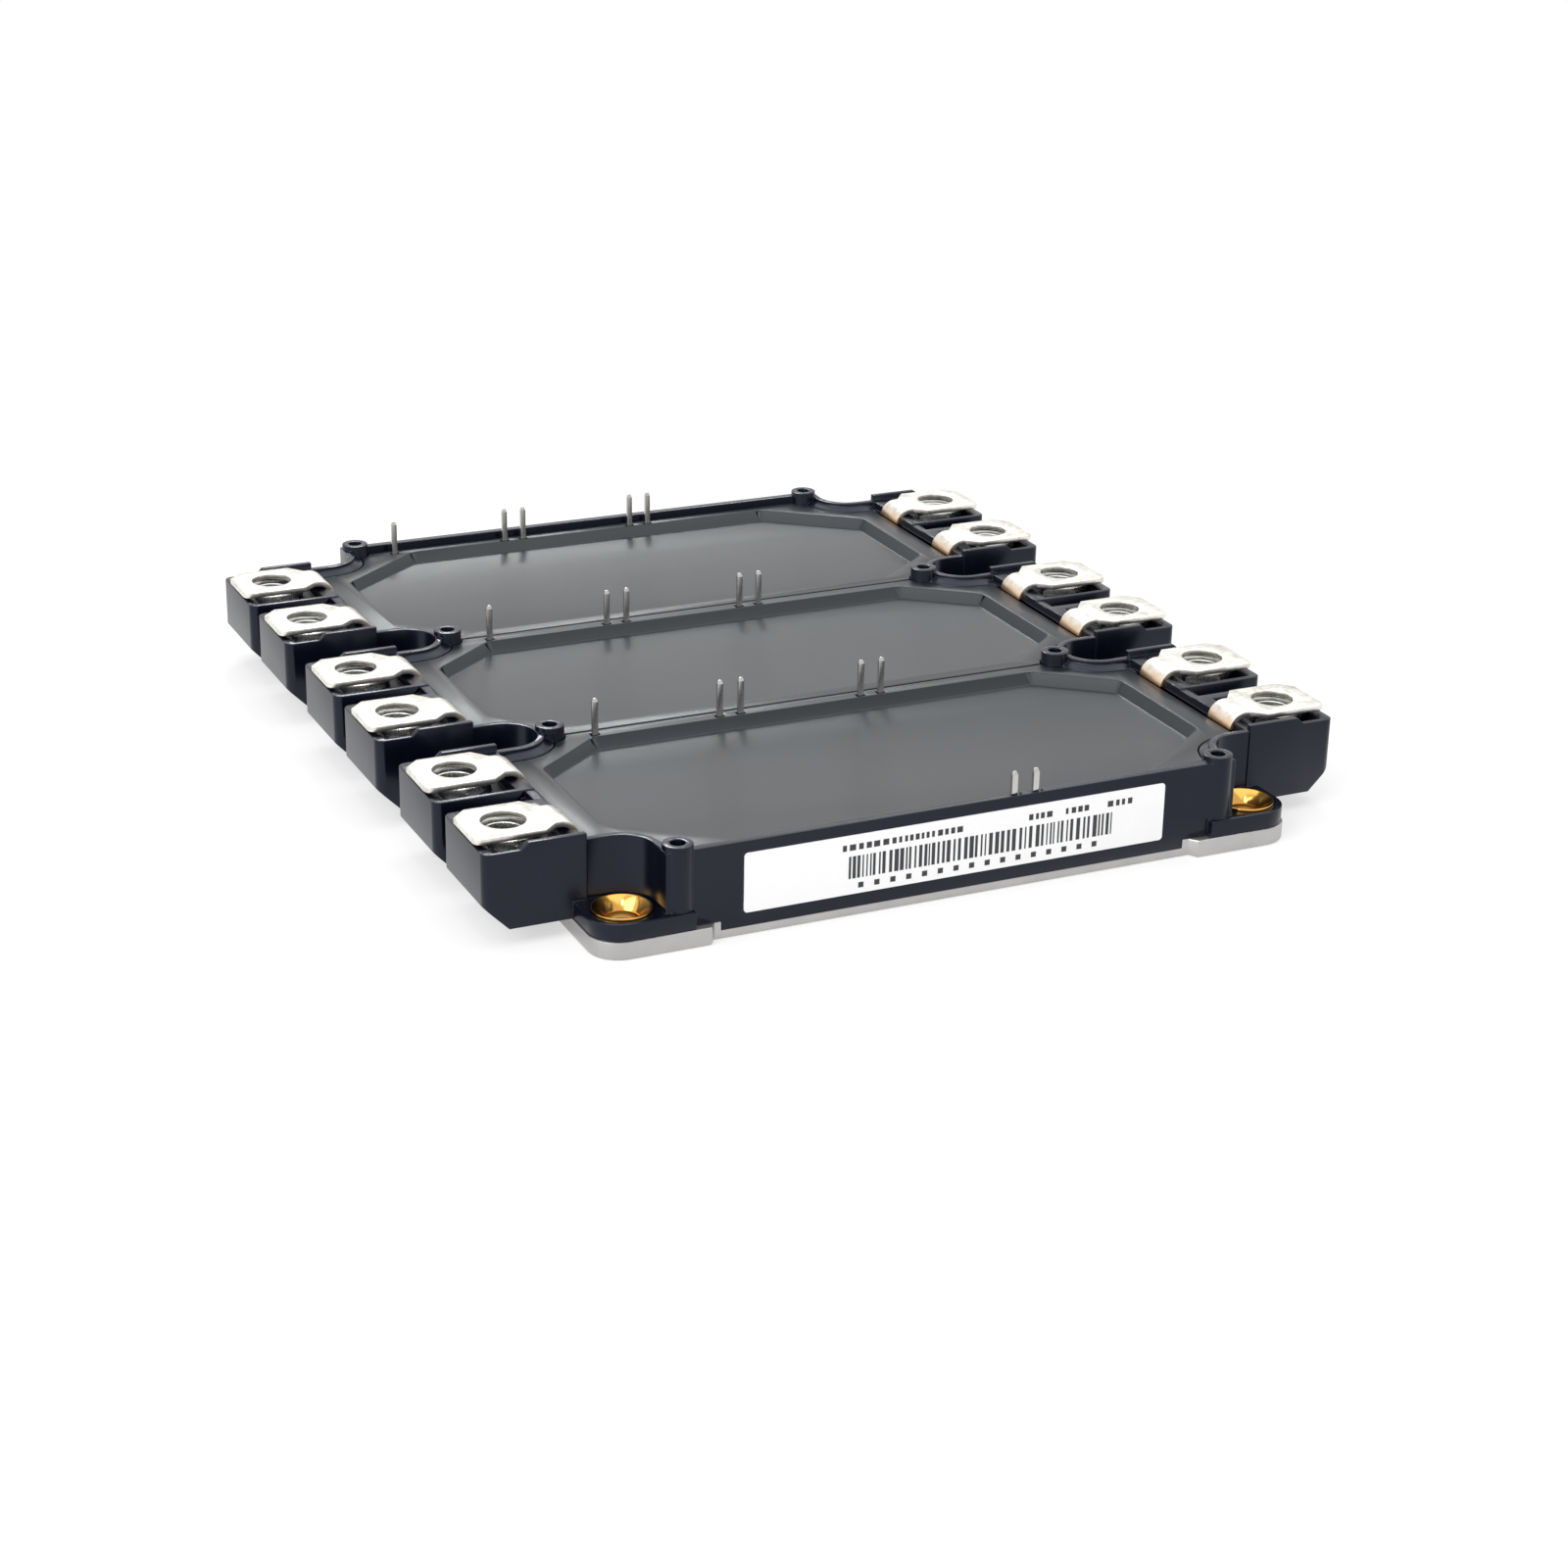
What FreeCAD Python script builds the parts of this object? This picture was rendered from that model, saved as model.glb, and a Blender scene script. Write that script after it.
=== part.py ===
import FreeCAD, Part
import math
import os

# Power transistor module with three half-bridge phases side by side.
# Millimetres, +Z up. The origin is the centre of the base plate's underside.
# +X points to the output terminals, +Y from the labelled end wall to the opposite one.

# Base plate
plate_width = 122.0
plate_length = 162.0
plate_thickness = 3.0
plate_corner_radius = 5.0
plate_edge_round = 0.5
hole_to_edge = 6.0          # the mounting holes' distance from the plate's sides and ends
mounting_hole_radius = 2.75
lug_proud = 1.5             # the corner lugs stand this far past the end walls
lug_slant = 1.6             # length of the slanted step between a lug and the recessed middle
lug_from_hole = 13.2        # from the corner's mounting hole to the foot of that step
rebate_height = 1.5         # height of the ledge that the end walls' lower lips reach down to
rebate_from_lug = 1.2       # the lips end this far before the step

# Phases
phase_count = 3
terminal_offset = 11.0      # the terminal holes' distance from their phase's middle, along Y

# Housing
side_wall = 3.0
wall_thickness = 1.6        # end walls
wall_top = 15.5
frame_inset = 0.2           # the moulding's sides and flanges lie this far inside the plate's edge
flange_top = 5.8
flange_past_lug = 3.4       # the end flanges begin this far past the foot of the plate's step
shoulder_top = 14.2         # top of the moulding where the lids lie flush with it
seat_height = 12.4          # the ledges that carry the lids
side_ledge = 2.8            # depth of the ledge inside each side wall
end_ledge = 2.3             # depth of the ledge inside each end wall
cross_bar_width = 5.2
notch_radius = 5.3          # opening round each mounting hole
notch_lip = 1.2             # thickness of the raised lip round the opening
notch_shoulder = 1.5        # the sloping shoulder outside the lip
notch_backing = 2.0         # width of the ledge behind the shoulder
lip_root = 14.9             # the lip's vertical face ends here and the slope begins
boss_from_hole = 7.8
boss_radius = 2.4
boss_hole_radius = 1.2
boss_hole_depth = 7.0
boss_top = 16.4

# Terminal blocks
terminal_from_hole = 13.5   # from the mounting holes' column to the terminal holes' column
block_past_hole = 6.5       # the block's outer face is this far past its terminal hole
block_from_seat = 0.7       # the block begins this far outside the lid's seat
block_width = 18.0
block_bottom = 3.0
block_top = 15.5
block_chamfer = 4.0
block_corner_radius = 1.5
guard_thickness = 1.1       # rib along the side of a block that faces a mounting hole
guard_top = 16.6
guard_past_hole = 0.5
guard_slant = 1.2           # length of the rib's sloping outer end
recess_toward_lid = 7.2     # shallow recess in the block's top, measured from the terminal hole
recess_outward = 4.5
recess_far = 7.0            # reach of the recess to the +Y side
recess_floor = 13.9
neck_bar_half_length = 5.0  # raised bar between the two necks of a phase
neck_bar_width = 1.6
neck_bar_top = 15.3

# Nuts (M6) and the room for the bolts' ends
nut_across_flats = 10.0
nut_height = 5.0
nut_hole_radius = 2.5
nut_play = 0.1
nut_headroom = 0.2
bolt_room_radius = 3.5
bolt_room_floor = 6.0

# Power terminals
strip_thickness = 1.0
tab_clearance = 0.5         # between the block's top and the tab
tab_past_hole = 6.7
tab_hole_radius = 3.5
tab_near = 6.1              # the tab's edge to the -Y side of its hole
tab_far = 5.9
tab_from_neck = 3.7         # the strip begins to widen this far from the neck's face
tab_widening = 2.3          # length over which it widens
far_corner = (2.5, 2.3)     # the tab's cut corners, along X and along Y
near_corner = (1.1, 1.5)
neck_near = 4.0
neck_far = 3.0
top_bend_radius = 3.0       # outer radius
foot_bend_radius = 2.25     # outer radius
foot_reach = 9.8            # from the neck's face to the inner end of the foot
foot_top = 7.0
foot_ledge_overhang = 1.5
foot_ledge_margin = 2.0

# Lids
lid_play = 0.2
lid_thickness = 1.5
tray_side_rim = 4.5         # rim between the tray and the side wall
tray_ridge = 2.8            # rim between the tray and the seam
tray_end_rim = 2.5          # rim between the tray and the end wall
tray_depth = 1.9
tray_slope = 1.3            # how far the tray's sides lean in
tray_corner_distance = 11.0 # from the mounting hole to the tray's cut corner
tray_corner_angle = 52.0    # direction of that distance, from the X axis
tray_corner_radius = 2.0
pin_slot_play = 0.2

# Collars in the mounting holes
collar_tube_radius = 3.6
collar_flange_radius = 4.75
collar_flange_thickness = 0.4
collar_flare = 1.8          # height over which the tube opens out to its flange
collar_mouth_radius = 4.45
collar_mouth_depth = 2.0

# Signal pins
pin_width = 1.2
pin_thickness = 0.8
pin_top = 20.5
pin_tip = 0.7
pin_from_seam = 1.8
pin_from_boss = 7.2         # the first pin's distance from the nearest boss
pin_steps = (22.3, 26.1, 48.4, 52.2)    # the other pins' distances from the first
pin_foot_length = 3.2
pin_foot_top = 6.0
pin_foot_width = 2.0
pin_ledge_overhang = 0.6
sensor_pin_places = (9.6, 13.4)
sensor_pin_top = 19.3
sensor_pocket_width = 2.4
sensor_pocket_depth = 1.0
sensor_pocket_reach = 1.1

# Circuit inside each phase
circuit_play = 2.5          # between the ceramic and the ledges on both sides and behind it
circuit_from_bar = 2.9      # between the ceramic and the cross bar before it
back_copper_thickness = 0.3
ceramic_thickness = 0.4
track_thickness = 0.3
copper_margin = 1.0
track_gap = 1.0
chip_gap = 0.9              # between a diode and its transistor
signal_track_width = 1.2
chip_thickness = 0.2
chip_margin = 0.45          # bare track beside the chips, along Y
chip_first = 8.0            # from the middle to the first chip and from the last to the track's end
chips_per_side = 3
transistor_size = 8.5
diode_size = 5.5
wire_width = 0.4
wire_rise = 1.6
wire_shoulder = 0.25        # each leg of a wire takes up this share of its length
wires_per_chip = 2
wires_per_foot = 3
wire_spacing = 2.4
wire_inset = 1.0            # from a chip's middle to the end of a wire on it
wire_to_track = 2.0         # from a track's edge to the end of a wire on it
wire_to_foot = 1.5          # from a foot's end to the end of a wire on it
wire_to_side = 2.0          # from a track's outer end to the end of a wire from a foot
gel_top = 9.0
sensor_length = 3.2
sensor_width = 1.6
sensor_height = 0.9
sensor_inset = 1.0

# Label
label_left = -37.0
label_right = 36.5
label_bottom = 3.8
label_top = 13.6
label_thickness = 0.15
label_corner_radius = 0.6

# Places that follow from the sizes above
hole_column = plate_width / 2 - hole_to_edge
phase_pitch = (plate_length - 2 * hole_to_edge) / phase_count
phases = {name: (index - 1) * phase_pitch for index, name in enumerate("uvw")}
hole_rows = [(index - phase_count / 2) * phase_pitch for index in range(phase_count + 1)]
terminal_column = hole_column + terminal_from_hole
lug_start = hole_column - lug_from_hole
rebate_half_width = lug_start - rebate_from_lug
flange_start = lug_start + flange_past_lug
end_face = plate_length / 2 - lug_proud
end_inner_face = end_face - wall_thickness
frame_half_width = plate_width / 2 - frame_inset
seat_half_width = frame_half_width - side_wall
cavity_half_width = seat_half_width - side_ledge
tray_half_width = seat_half_width - tray_side_rim
boss_column = hole_column - boss_from_hole
boss_rows = (-end_inner_face, -0.5 * phase_pitch, 0.5 * phase_pitch, end_inner_face)
lip_radius = notch_radius + notch_lip
shoulder_radius = lip_radius + notch_shoulder
backing_radius = shoulder_radius + notch_backing
block_outer_face = terminal_column + block_past_hole
block_inner_end = seat_half_width + block_from_seat
nut_top = block_top - nut_headroom
nut_bottom = nut_top - nut_height
tab_underside = block_top + tab_clearance
tab_top = tab_underside + strip_thickness
tab_end = terminal_column + tab_past_hole
neck_face = seat_half_width
neck_back = neck_face + strip_thickness
foot_end = neck_face - foot_reach
foot_underside = foot_top - strip_thickness
pin_places = [-boss_column + pin_from_boss + step for step in (0.0, *pin_steps)]
pin_foot_bottom = pin_foot_top - pin_thickness
pin_reach = pin_thickness / 2 + pin_foot_length + pin_ledge_overhang
ceramic_half_width = foot_end - foot_ledge_overhang - circuit_play
ceramic_near = (phase_pitch - cross_bar_width) / 2 - circuit_from_bar
ceramic_far = phase_pitch / 2 - pin_from_seam - pin_reach - circuit_play
ceramic_bottom = plate_thickness + back_copper_thickness
track_bottom = ceramic_bottom + ceramic_thickness
track_top = track_bottom + track_thickness
track_half_width = ceramic_half_width - copper_margin
signal_track_near = ceramic_far - copper_margin - signal_track_width
chip_top = track_top + chip_thickness
chip_pitch = (track_half_width - 2 * chip_first) / (chips_per_side - 1)
transistor_row = signal_track_near - track_gap - chip_margin - transistor_size / 2
diode_row = transistor_row - (transistor_size + diode_size) / 2 - chip_gap
track_split = diode_row - diode_size / 2 - chip_margin - track_gap / 2
far_out = plate_length      # a length that reaches past everything


def vec(x, y, z):
    return FreeCAD.Vector(x, y, z)


def box(x_range, y_range, z_range):
    """A box between two values on each axis, in any order."""
    low = [min(pair) for pair in (x_range, y_range, z_range)]
    size = [abs(pair[1] - pair[0]) for pair in (x_range, y_range, z_range)]
    return Part.makeBox(*size, vec(*low))


def rod(x, y, radius, z_range):
    return Part.makeCylinder(radius, z_range[1] - z_range[0], vec(x, y, z_range[0]))


def prism(points, z_range):
    """A closed outline in plan, raised between two heights."""
    corners = [vec(x, y, z_range[0]) for x, y in points]
    face = Part.Face(Part.makePolygon(corners + corners[:1]))
    return face.extrude(vec(0, 0, z_range[1] - z_range[0]))


def fused(shapes):
    first = shapes[0]
    if len(shapes) == 1:
        return first
    return first.fuse(shapes[1:]).removeSplitter()


def mirrored(shape):
    """The same shape on the other side of the middle, left for right."""
    return shape.mirror(vec(0, 0, 0), vec(1, 0, 0))


def upright_edges(shape, test):
    """Edges that run along Z and whose middle passes a test on x and y."""
    found = []
    for edge in shape.Edges:
        start, end = edge.Vertexes[0].Point, edge.Vertexes[-1].Point
        is_upright = abs(start.x - end.x) < 1e-6 and abs(start.y - end.y) < 1e-6
        if is_upright and test((start.x + end.x) / 2, (start.y + end.y) / 2):
            found.append(edge)
    return found


def notch_zone(column, row, radius, z_range):
    """Plan of a notch at a given distance from its mounting hole: round inside, open outwards.

    The notches at the four corners are open towards the module's end as well.
    """
    side = math.copysign(1, column)
    shapes = [rod(column, row, radius, z_range)]
    shapes.append(box((column, side * far_out), (row - radius, row + radius), z_range))
    if abs(row) > phase_pitch:
        end = math.copysign(1, row)
        shapes.append(box((column - side * radius, side * far_out), (row, end * far_out), z_range))
    return fused(shapes)


def notch_places():
    return [(side * hole_column, row) for row in hole_rows for side in (-1, 1)]


def all_notches(radius, z_range):
    return [notch_zone(column, row, radius, z_range) for column, row in notch_places()]


def base_plate():
    half_width = plate_width / 2
    half_length = plate_length / 2
    plate = box((-half_width, half_width), (-half_length, half_length), (0, plate_thickness))
    corners = upright_edges(plate, lambda x, y: True)
    plate = plate.makeFillet(plate_corner_radius, corners)
    for end in (-1, 1):
        outline = [(-lug_start, end * end_face), (lug_start, end * end_face),
                   (lug_start + lug_slant, end * (half_length + 1)),
                   (-lug_start - lug_slant, end * (half_length + 1))]
        plate = plate.cut(prism(outline, (-1, plate_thickness + 1)))
        rebate = box((-rebate_half_width, rebate_half_width), (end * end_inner_face, end * far_out),
                     (rebate_height, plate_thickness + 1))
        plate = plate.cut(rebate)
    holes = [rod(x, y, mounting_hole_radius, (-1, plate_thickness + 1)) for x, y in notch_places()]
    plate = plate.cut(holes)
    return plate.makeFillet(plate_edge_round, underside_edges(plate))


def underside_edges(plate):
    """The outer edges of the plate's underside, without the holes."""
    lowest = [face for face in plate.Faces if face.BoundBox.ZMax < 1e-6][0]
    return lowest.OuterWire.Edges


def terminal_strip_profile():
    """Side view of the bent strip on the +X side, as a face in the XZ plane."""
    outer = top_bend_radius
    inner = outer - strip_thickness
    foot_outer = foot_bend_radius
    foot_inner = foot_outer - strip_thickness
    bend_x = neck_face + outer
    bend_z = tab_top - outer
    foot_x = neck_face - foot_inner
    foot_z = foot_top + foot_inner
    slant = math.sqrt(0.5)

    def point(x, z):
        return vec(x, 0, z)

    def line(start, end):
        return Part.LineSegment(start, end).toShape()

    def arc(start, middle, end):
        return Part.Arc(start, middle, end).toShape()

    edges = [
        line(point(tab_end, tab_top), point(bend_x, tab_top)),
        arc(point(bend_x, tab_top), point(bend_x - outer * slant, bend_z + outer * slant),
            point(neck_face, bend_z)),
        line(point(neck_face, bend_z), point(neck_face, foot_z)),
        arc(point(neck_face, foot_z), point(foot_x + foot_inner * slant, foot_z - foot_inner * slant),
            point(foot_x, foot_top)),
        line(point(foot_x, foot_top), point(foot_end, foot_top)),
        line(point(foot_end, foot_top), point(foot_end, foot_underside)),
        line(point(foot_end, foot_underside), point(foot_x, foot_underside)),
        arc(point(foot_x, foot_underside),
            point(foot_x + foot_outer * slant, foot_z - foot_outer * slant), point(neck_back, foot_z)),
        line(point(neck_back, foot_z), point(neck_back, bend_z)),
        arc(point(neck_back, bend_z), point(bend_x - inner * slant, bend_z + inner * slant),
            point(bend_x, tab_underside)),
        line(point(bend_x, tab_underside), point(tab_end, tab_underside)),
        line(point(tab_end, tab_underside), point(tab_end, tab_top)),
    ]
    return Part.Face(Part.Wire(edges))


def terminal():
    """One power terminal on the +X side, with its hole in the row y = 0."""
    reach = tab_near + tab_far
    profile = terminal_strip_profile()
    profile.translate(vec(0, -reach, 0))
    strip = profile.extrude(vec(0, 2 * reach, 0))
    neck_end = neck_face + tab_from_neck
    tab_start = neck_end + tab_widening
    outline = [
        (foot_end - 1, -neck_near), (neck_end, -neck_near), (tab_start, -tab_near),
        (tab_end - near_corner[0], -tab_near), (tab_end, -tab_near + near_corner[1]),
        (tab_end, tab_far - far_corner[1]), (tab_end - far_corner[0], tab_far),
        (tab_start, tab_far), (neck_end, neck_far), (foot_end - 1, neck_far),
    ]
    blank = strip.common(prism(outline, (0, tab_top + 1)))
    return blank.cut(rod(terminal_column, 0, tab_hole_radius, (tab_underside - 1, tab_top + 1)))


def terminal_places():
    """Name, side and row of each power terminal."""
    places = []
    for phase, middle in phases.items():
        places.append((f"terminal_plus_{phase}", -1, middle + terminal_offset))
        places.append((f"terminal_minus_{phase}", -1, middle - terminal_offset))
        places.append((f"terminal_output_a_{phase}", 1, middle + terminal_offset))
        places.append((f"terminal_output_b_{phase}", 1, middle - terminal_offset))
    return places


def placed(shape, side, row):
    """A shape made on the +X side in the row y = 0, set on its side and row."""
    copy = shape.copy() if side > 0 else mirrored(shape)
    copy.translate(vec(0, row, 0))
    return copy


def hexagon(across_flats, z_range):
    """A hexagonal column on the origin with two corners on the Y axis."""
    corner = across_flats / math.sqrt(3)
    points = []
    for step in range(6):
        angle = math.radians(30 + 60 * step)
        points.append((corner * math.cos(angle), corner * math.sin(angle)))
    return prism(points, z_range)


def nut():
    """One hexagon nut on the +X side, with its corners turned down by a cone."""
    body = hexagon(nut_across_flats, (nut_bottom, nut_top))
    corner = nut_across_flats / math.sqrt(3)
    reach = corner + nut_height
    low_cone = Part.makeCone(nut_across_flats / 2, reach, reach - nut_across_flats / 2, vec(0, 0, nut_bottom))
    high_cone = low_cone.mirror(vec(0, 0, (nut_bottom + nut_top) / 2), vec(0, 0, 1))
    body = body.common(low_cone).common(high_cone)
    body = body.cut(rod(0, 0, nut_hole_radius, (nut_bottom - 1, nut_top + 1)))
    body.translate(vec(terminal_column, 0, 0))
    return body


def terminal_block():
    """One block on the +X side, with its terminal in the row y = 0 and no guard rib."""
    half = block_width / 2
    block = box((block_inner_end, block_outer_face), (-half, half), (block_bottom, block_top))
    corners = upright_edges(block, lambda x, y: x > block_outer_face - 1e-3)
    block = block.makeFillet(block_corner_radius, corners)
    slope = Part.Face(Part.makePolygon([
        vec(block_outer_face - block_chamfer, -half, block_bottom),
        vec(block_outer_face, -half, block_bottom),
        vec(block_outer_face, -half, block_bottom + block_chamfer),
        vec(block_outer_face - block_chamfer, -half, block_bottom)]))
    block = block.cut(slope.extrude(vec(0, block_width, 0)))
    recess = box((terminal_column - recess_toward_lid, terminal_column + recess_outward),
                 (guard_thickness - half, recess_far), (recess_floor, block_top + 1))
    pocket = hexagon(nut_across_flats + 2 * nut_play, (nut_bottom, block_top + 1))
    pocket.translate(vec(terminal_column, 0, 0))
    bolt_room = rod(terminal_column, 0, bolt_room_radius, (bolt_room_floor, block_top))
    return block.cut([recess, pocket, bolt_room])


def guard_rib(toward):
    """The rib on the side of a block that faces a mounting hole, toward +Y or -Y."""
    face = toward * block_width / 2
    root = block_top - guard_thickness
    end = terminal_column + guard_past_hole
    points = [(block_inner_end, root), (end, root), (end, block_top), (end - guard_slant, guard_top),
              (block_inner_end, guard_top)]
    corners = [vec(x, face, z) for x, z in points]
    side = Part.Face(Part.makePolygon(corners + corners[:1]))
    return side.extrude(vec(0, -toward * guard_thickness, 0))


def neck_bars():
    """Raised bar between the two necks of each phase, on both sides."""
    bar = box((block_inner_end, block_inner_end + neck_bar_width),
              (-neck_bar_half_length, neck_bar_half_length), (shoulder_top, neck_bar_top))
    return [placed(bar, side, middle) for middle in phases.values() for side in (-1, 1)]


def cavity(phase):
    """The room inside a phase, from the base plate up to the seat of its lid."""
    middle = phases[phase]
    half = (phase_pitch - cross_bar_width) / 2
    near = middle - half
    far = middle + half
    if phase == "u":
        near = -end_inner_face + end_ledge
    if phase == "w":
        far = end_inner_face - end_ledge
    room = box((-cavity_half_width, cavity_half_width), (near, far), (plate_thickness, seat_height))
    corners = [zone for zone, place in zip(all_notches(backing_radius, (0, seat_height)), notch_places())
               if near - backing_radius < place[1] < far + backing_radius]
    ledges = [pin_ledge(phase), *foot_ledges(phase)]
    if phase == "u":
        ledges.append(sensor_pin_ledge())
    return room.cut(corners + ledges)


def foot_ledges(phase):
    """The blocks of plastic under the inner ends of a phase's power terminals."""
    ledge = box((foot_end - foot_ledge_overhang, seat_half_width),
                (-neck_near - foot_ledge_margin, neck_far + foot_ledge_margin),
                (plate_thickness, foot_underside))
    rows = (phases[phase] - terminal_offset, phases[phase] + terminal_offset)
    return [placed(ledge, side, row) for row in rows for side in (-1, 1)]


def pin_row(phase):
    """The row of a phase's signal pins, next to its far seam or the end wall."""
    if phase == "w":
        return end_inner_face - end_ledge + pin_thickness / 2
    return phases[phase] + phase_pitch / 2 - pin_from_seam


def pin_ledge(phase):
    """The step in front of a row of signal pins, which carries their inner ends."""
    row = pin_row(phase)
    left = pin_places[0] - pin_foot_width
    right = pin_places[-1] + pin_foot_width
    return box((left, right), (row - pin_reach, row + pin_from_seam), (plate_thickness, pin_foot_bottom))


def sensor_pin_row():
    return -end_inner_face - pin_thickness / 2


def sensor_foot_length():
    return end_ledge + pin_foot_length


def sensor_pin_ledge():
    front = sensor_pin_row() + pin_thickness / 2 + sensor_foot_length() + pin_ledge_overhang
    return box((sensor_pin_places[0] - pin_foot_width, sensor_pin_places[1] + pin_foot_width),
               (-end_inner_face, front), (plate_thickness, pin_foot_bottom))


def lid_seat():
    """The space above the ledges that the three lids take up."""
    seat = box((-seat_half_width, seat_half_width), (-end_inner_face, end_inner_face),
               (seat_height, boss_top + 1))
    bosses = [rod(x, y, boss_radius, (0, boss_top + 1)) for x, y in boss_places()]
    return seat.cut(all_notches(shoulder_radius, (0, boss_top + 1)) + bosses)


def boss_places():
    return [(side * boss_column, row) for row in boss_rows for side in (-1, 1)]


def notch_lips():
    """The raised lips round the notches and the slopes at their feet."""
    outside = box((-block_inner_end, block_inner_end), (-end_face, end_face), (0, boss_top))
    lips = all_notches(lip_radius, (seat_height, wall_top))
    for column, row in notch_places():
        slope = Part.makeCone(shoulder_radius, lip_radius, lip_root - shoulder_top,
                              vec(column, row, shoulder_top))
        lips.append(slope)
    return [lip.common(outside) for lip in lips]


def flange_slab():
    """The moulding's lowest layer, which the notches leave standing as flanges on the plate."""
    half_length = plate_length / 2 - frame_inset
    slab = box((-frame_half_width, frame_half_width), (-half_length, half_length),
               (plate_thickness, flange_top))
    slab = slab.makeFillet(plate_corner_radius, upright_edges(slab, lambda x, y: True))
    ends = [box((-flange_start, flange_start), (end * end_face, end * far_out),
                (0, flange_top + 1)) for end in (-1, 1)]
    return slab.cut(ends)


def end_walls():
    walls = []
    reach = hole_column - notch_radius
    for end in (-1, 1):
        depth = (end * end_inner_face, end * end_face)
        walls.append(box((-reach, reach), depth, (seat_height, wall_top)))
        walls.append(box((-rebate_half_width, rebate_half_width), depth, (rebate_height, plate_thickness)))
    return walls


def moulding(terminals, pins):
    """The whole housing without its lids, formed round the terminals and pins that it holds."""
    body = flange_slab().fuse(box((-frame_half_width, frame_half_width), (-end_face, end_face),
                                  (flange_top, shoulder_top)))
    body = body.cut([cavity(phase) for phase in phases] + [lid_seat()])
    bosses = [rod(x, y, boss_radius, (flange_top, boss_top)) for x, y in boss_places()]
    body = fused([body, *end_walls(), *notch_lips(), *neck_bars(), *bosses])
    body = body.cut(all_notches(notch_radius, (flange_top, boss_top + 1)))
    body = fused([body, *terminal_blocks()])
    body = body.cut(collar_seats() + boss_holes() + sensor_pockets())
    return body.cut(terminals + pins)


def moulding_pieces(body):
    """The moulding divided into simple pieces that meet face to face.

    What stands out past the plate is the terminal blocks. The rest is cut level with the ledges under
    the terminals' feet, into the flanges below and the frame above.
    """
    beyond = [box((side * frame_half_width, side * far_out), (-far_out, far_out), (0, far_out))
              for side in (-1, 1)]
    low = box((-frame_half_width, frame_half_width), (-far_out, far_out), (0, foot_underside))
    inner = body.cut(beyond)
    return {
        "housing_flanges": inner.common(low),
        "housing_frame": inner.cut(low),
        "terminal_blocks": body.common(fused(beyond)),
    }


def terminal_blocks():
    """All blocks, each with its guard rib on the side away from its phase's middle."""
    shapes = []
    block = terminal_block()
    for name, side, row in terminal_places():
        toward = 1 if row in [middle + terminal_offset for middle in phases.values()] else -1
        shapes.append(placed(block, side, row))
        shapes.append(placed(guard_rib(toward), side, row))
    return shapes


def collar_seats():
    """The holes in the flanges, widened upwards like the collars that they hold."""
    flare = flange_top - collar_flare
    seats = []
    for x, y in notch_places():
        seats.append(rod(x, y, collar_tube_radius, (plate_thickness - 1, flare)))
        seats.append(Part.makeCone(collar_tube_radius, collar_flange_radius, collar_flare, vec(x, y, flare)))
    return seats


def boss_holes():
    depths = (boss_top - boss_hole_depth, boss_top + 1)
    return [rod(x, y, boss_hole_radius, depths) for x, y in boss_places()]


def sensor_pockets():
    """Small pockets in the top of the front wall round the thermistor's pins."""
    half = sensor_pocket_width / 2
    face = -end_inner_face
    return [box((x - half, x + half), (face, face - sensor_pocket_reach),
                (wall_top - sensor_pocket_depth, wall_top + 1)) for x in sensor_pin_places]


def tray_outline(phase, inset, height):
    """The tray's outline at a height, drawn in by the inset, with its corners cut off."""
    near, far = tray_ends(phase)
    points = []
    angle = math.radians(tray_corner_angle)
    reach = tray_corner_distance + inset
    half_width = tray_half_width - inset
    corners = ((1, near + inset, -1), (1, far - inset, 1), (-1, far - inset, 1), (-1, near + inset, -1))
    for side, edge, end in corners:
        row = phases[phase] + end * phase_pitch / 2
        along = (hole_column - half_width) * math.cos(angle)
        side_point = (side * half_width, row - end * (reach - along) / math.sin(angle))
        across = (row - edge) * end * math.sin(angle)
        end_point = (side * (hole_column - (reach - across) / math.cos(angle)), edge)
        pair = [side_point, end_point]
        if side * end < 0:
            pair.reverse()
        points.extend(pair)
    corners = [vec(x, y, height) for x, y in points]
    return Part.makePolygon(corners + corners[:1])


def tray_ends(phase):
    """Where a tray begins and ends along Y."""
    near = phases[phase] - phase_pitch / 2 + tray_ridge
    far = phases[phase] + phase_pitch / 2 - tray_ridge
    if phase == "u":
        near = -end_inner_face + tray_end_rim
    if phase == "w":
        far = end_inner_face - tray_end_rim
    return near, far


def lid(phase):
    """One cover: a flat rim on the ledges and a shallow tray let into it."""
    near = phases[phase] - phase_pitch / 2 + lid_play
    far = phases[phase] + phase_pitch / 2 - lid_play
    if phase == "u":
        near = -end_inner_face + lid_play
    if phase == "w":
        far = end_inner_face - lid_play
    half_width = seat_half_width - lid_play
    rim = box((-half_width, half_width), (near, far), (seat_height, shoulder_top))
    floor = shoulder_top - tray_depth
    underside = Part.Face(tray_outline(phase, 0, floor - lid_thickness))
    body = rim.fuse(underside.extrude(vec(0, 0, seat_height - floor + lid_thickness)))
    tray = Part.makeLoft([tray_outline(phase, tray_slope, floor), tray_outline(phase, 0, shoulder_top)],
                         True, True)
    tray = tray.makeFillet(tray_corner_radius, leaning_edges(tray))
    body = body.cut(tray)
    body = body.cut(all_notches(shoulder_radius + lid_play, (0, boss_top)))
    body = body.cut([rod(x, y, boss_radius + lid_play, (0, boss_top)) for x, y in boss_places()])
    return body.cut(pin_slots(phase))


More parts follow.
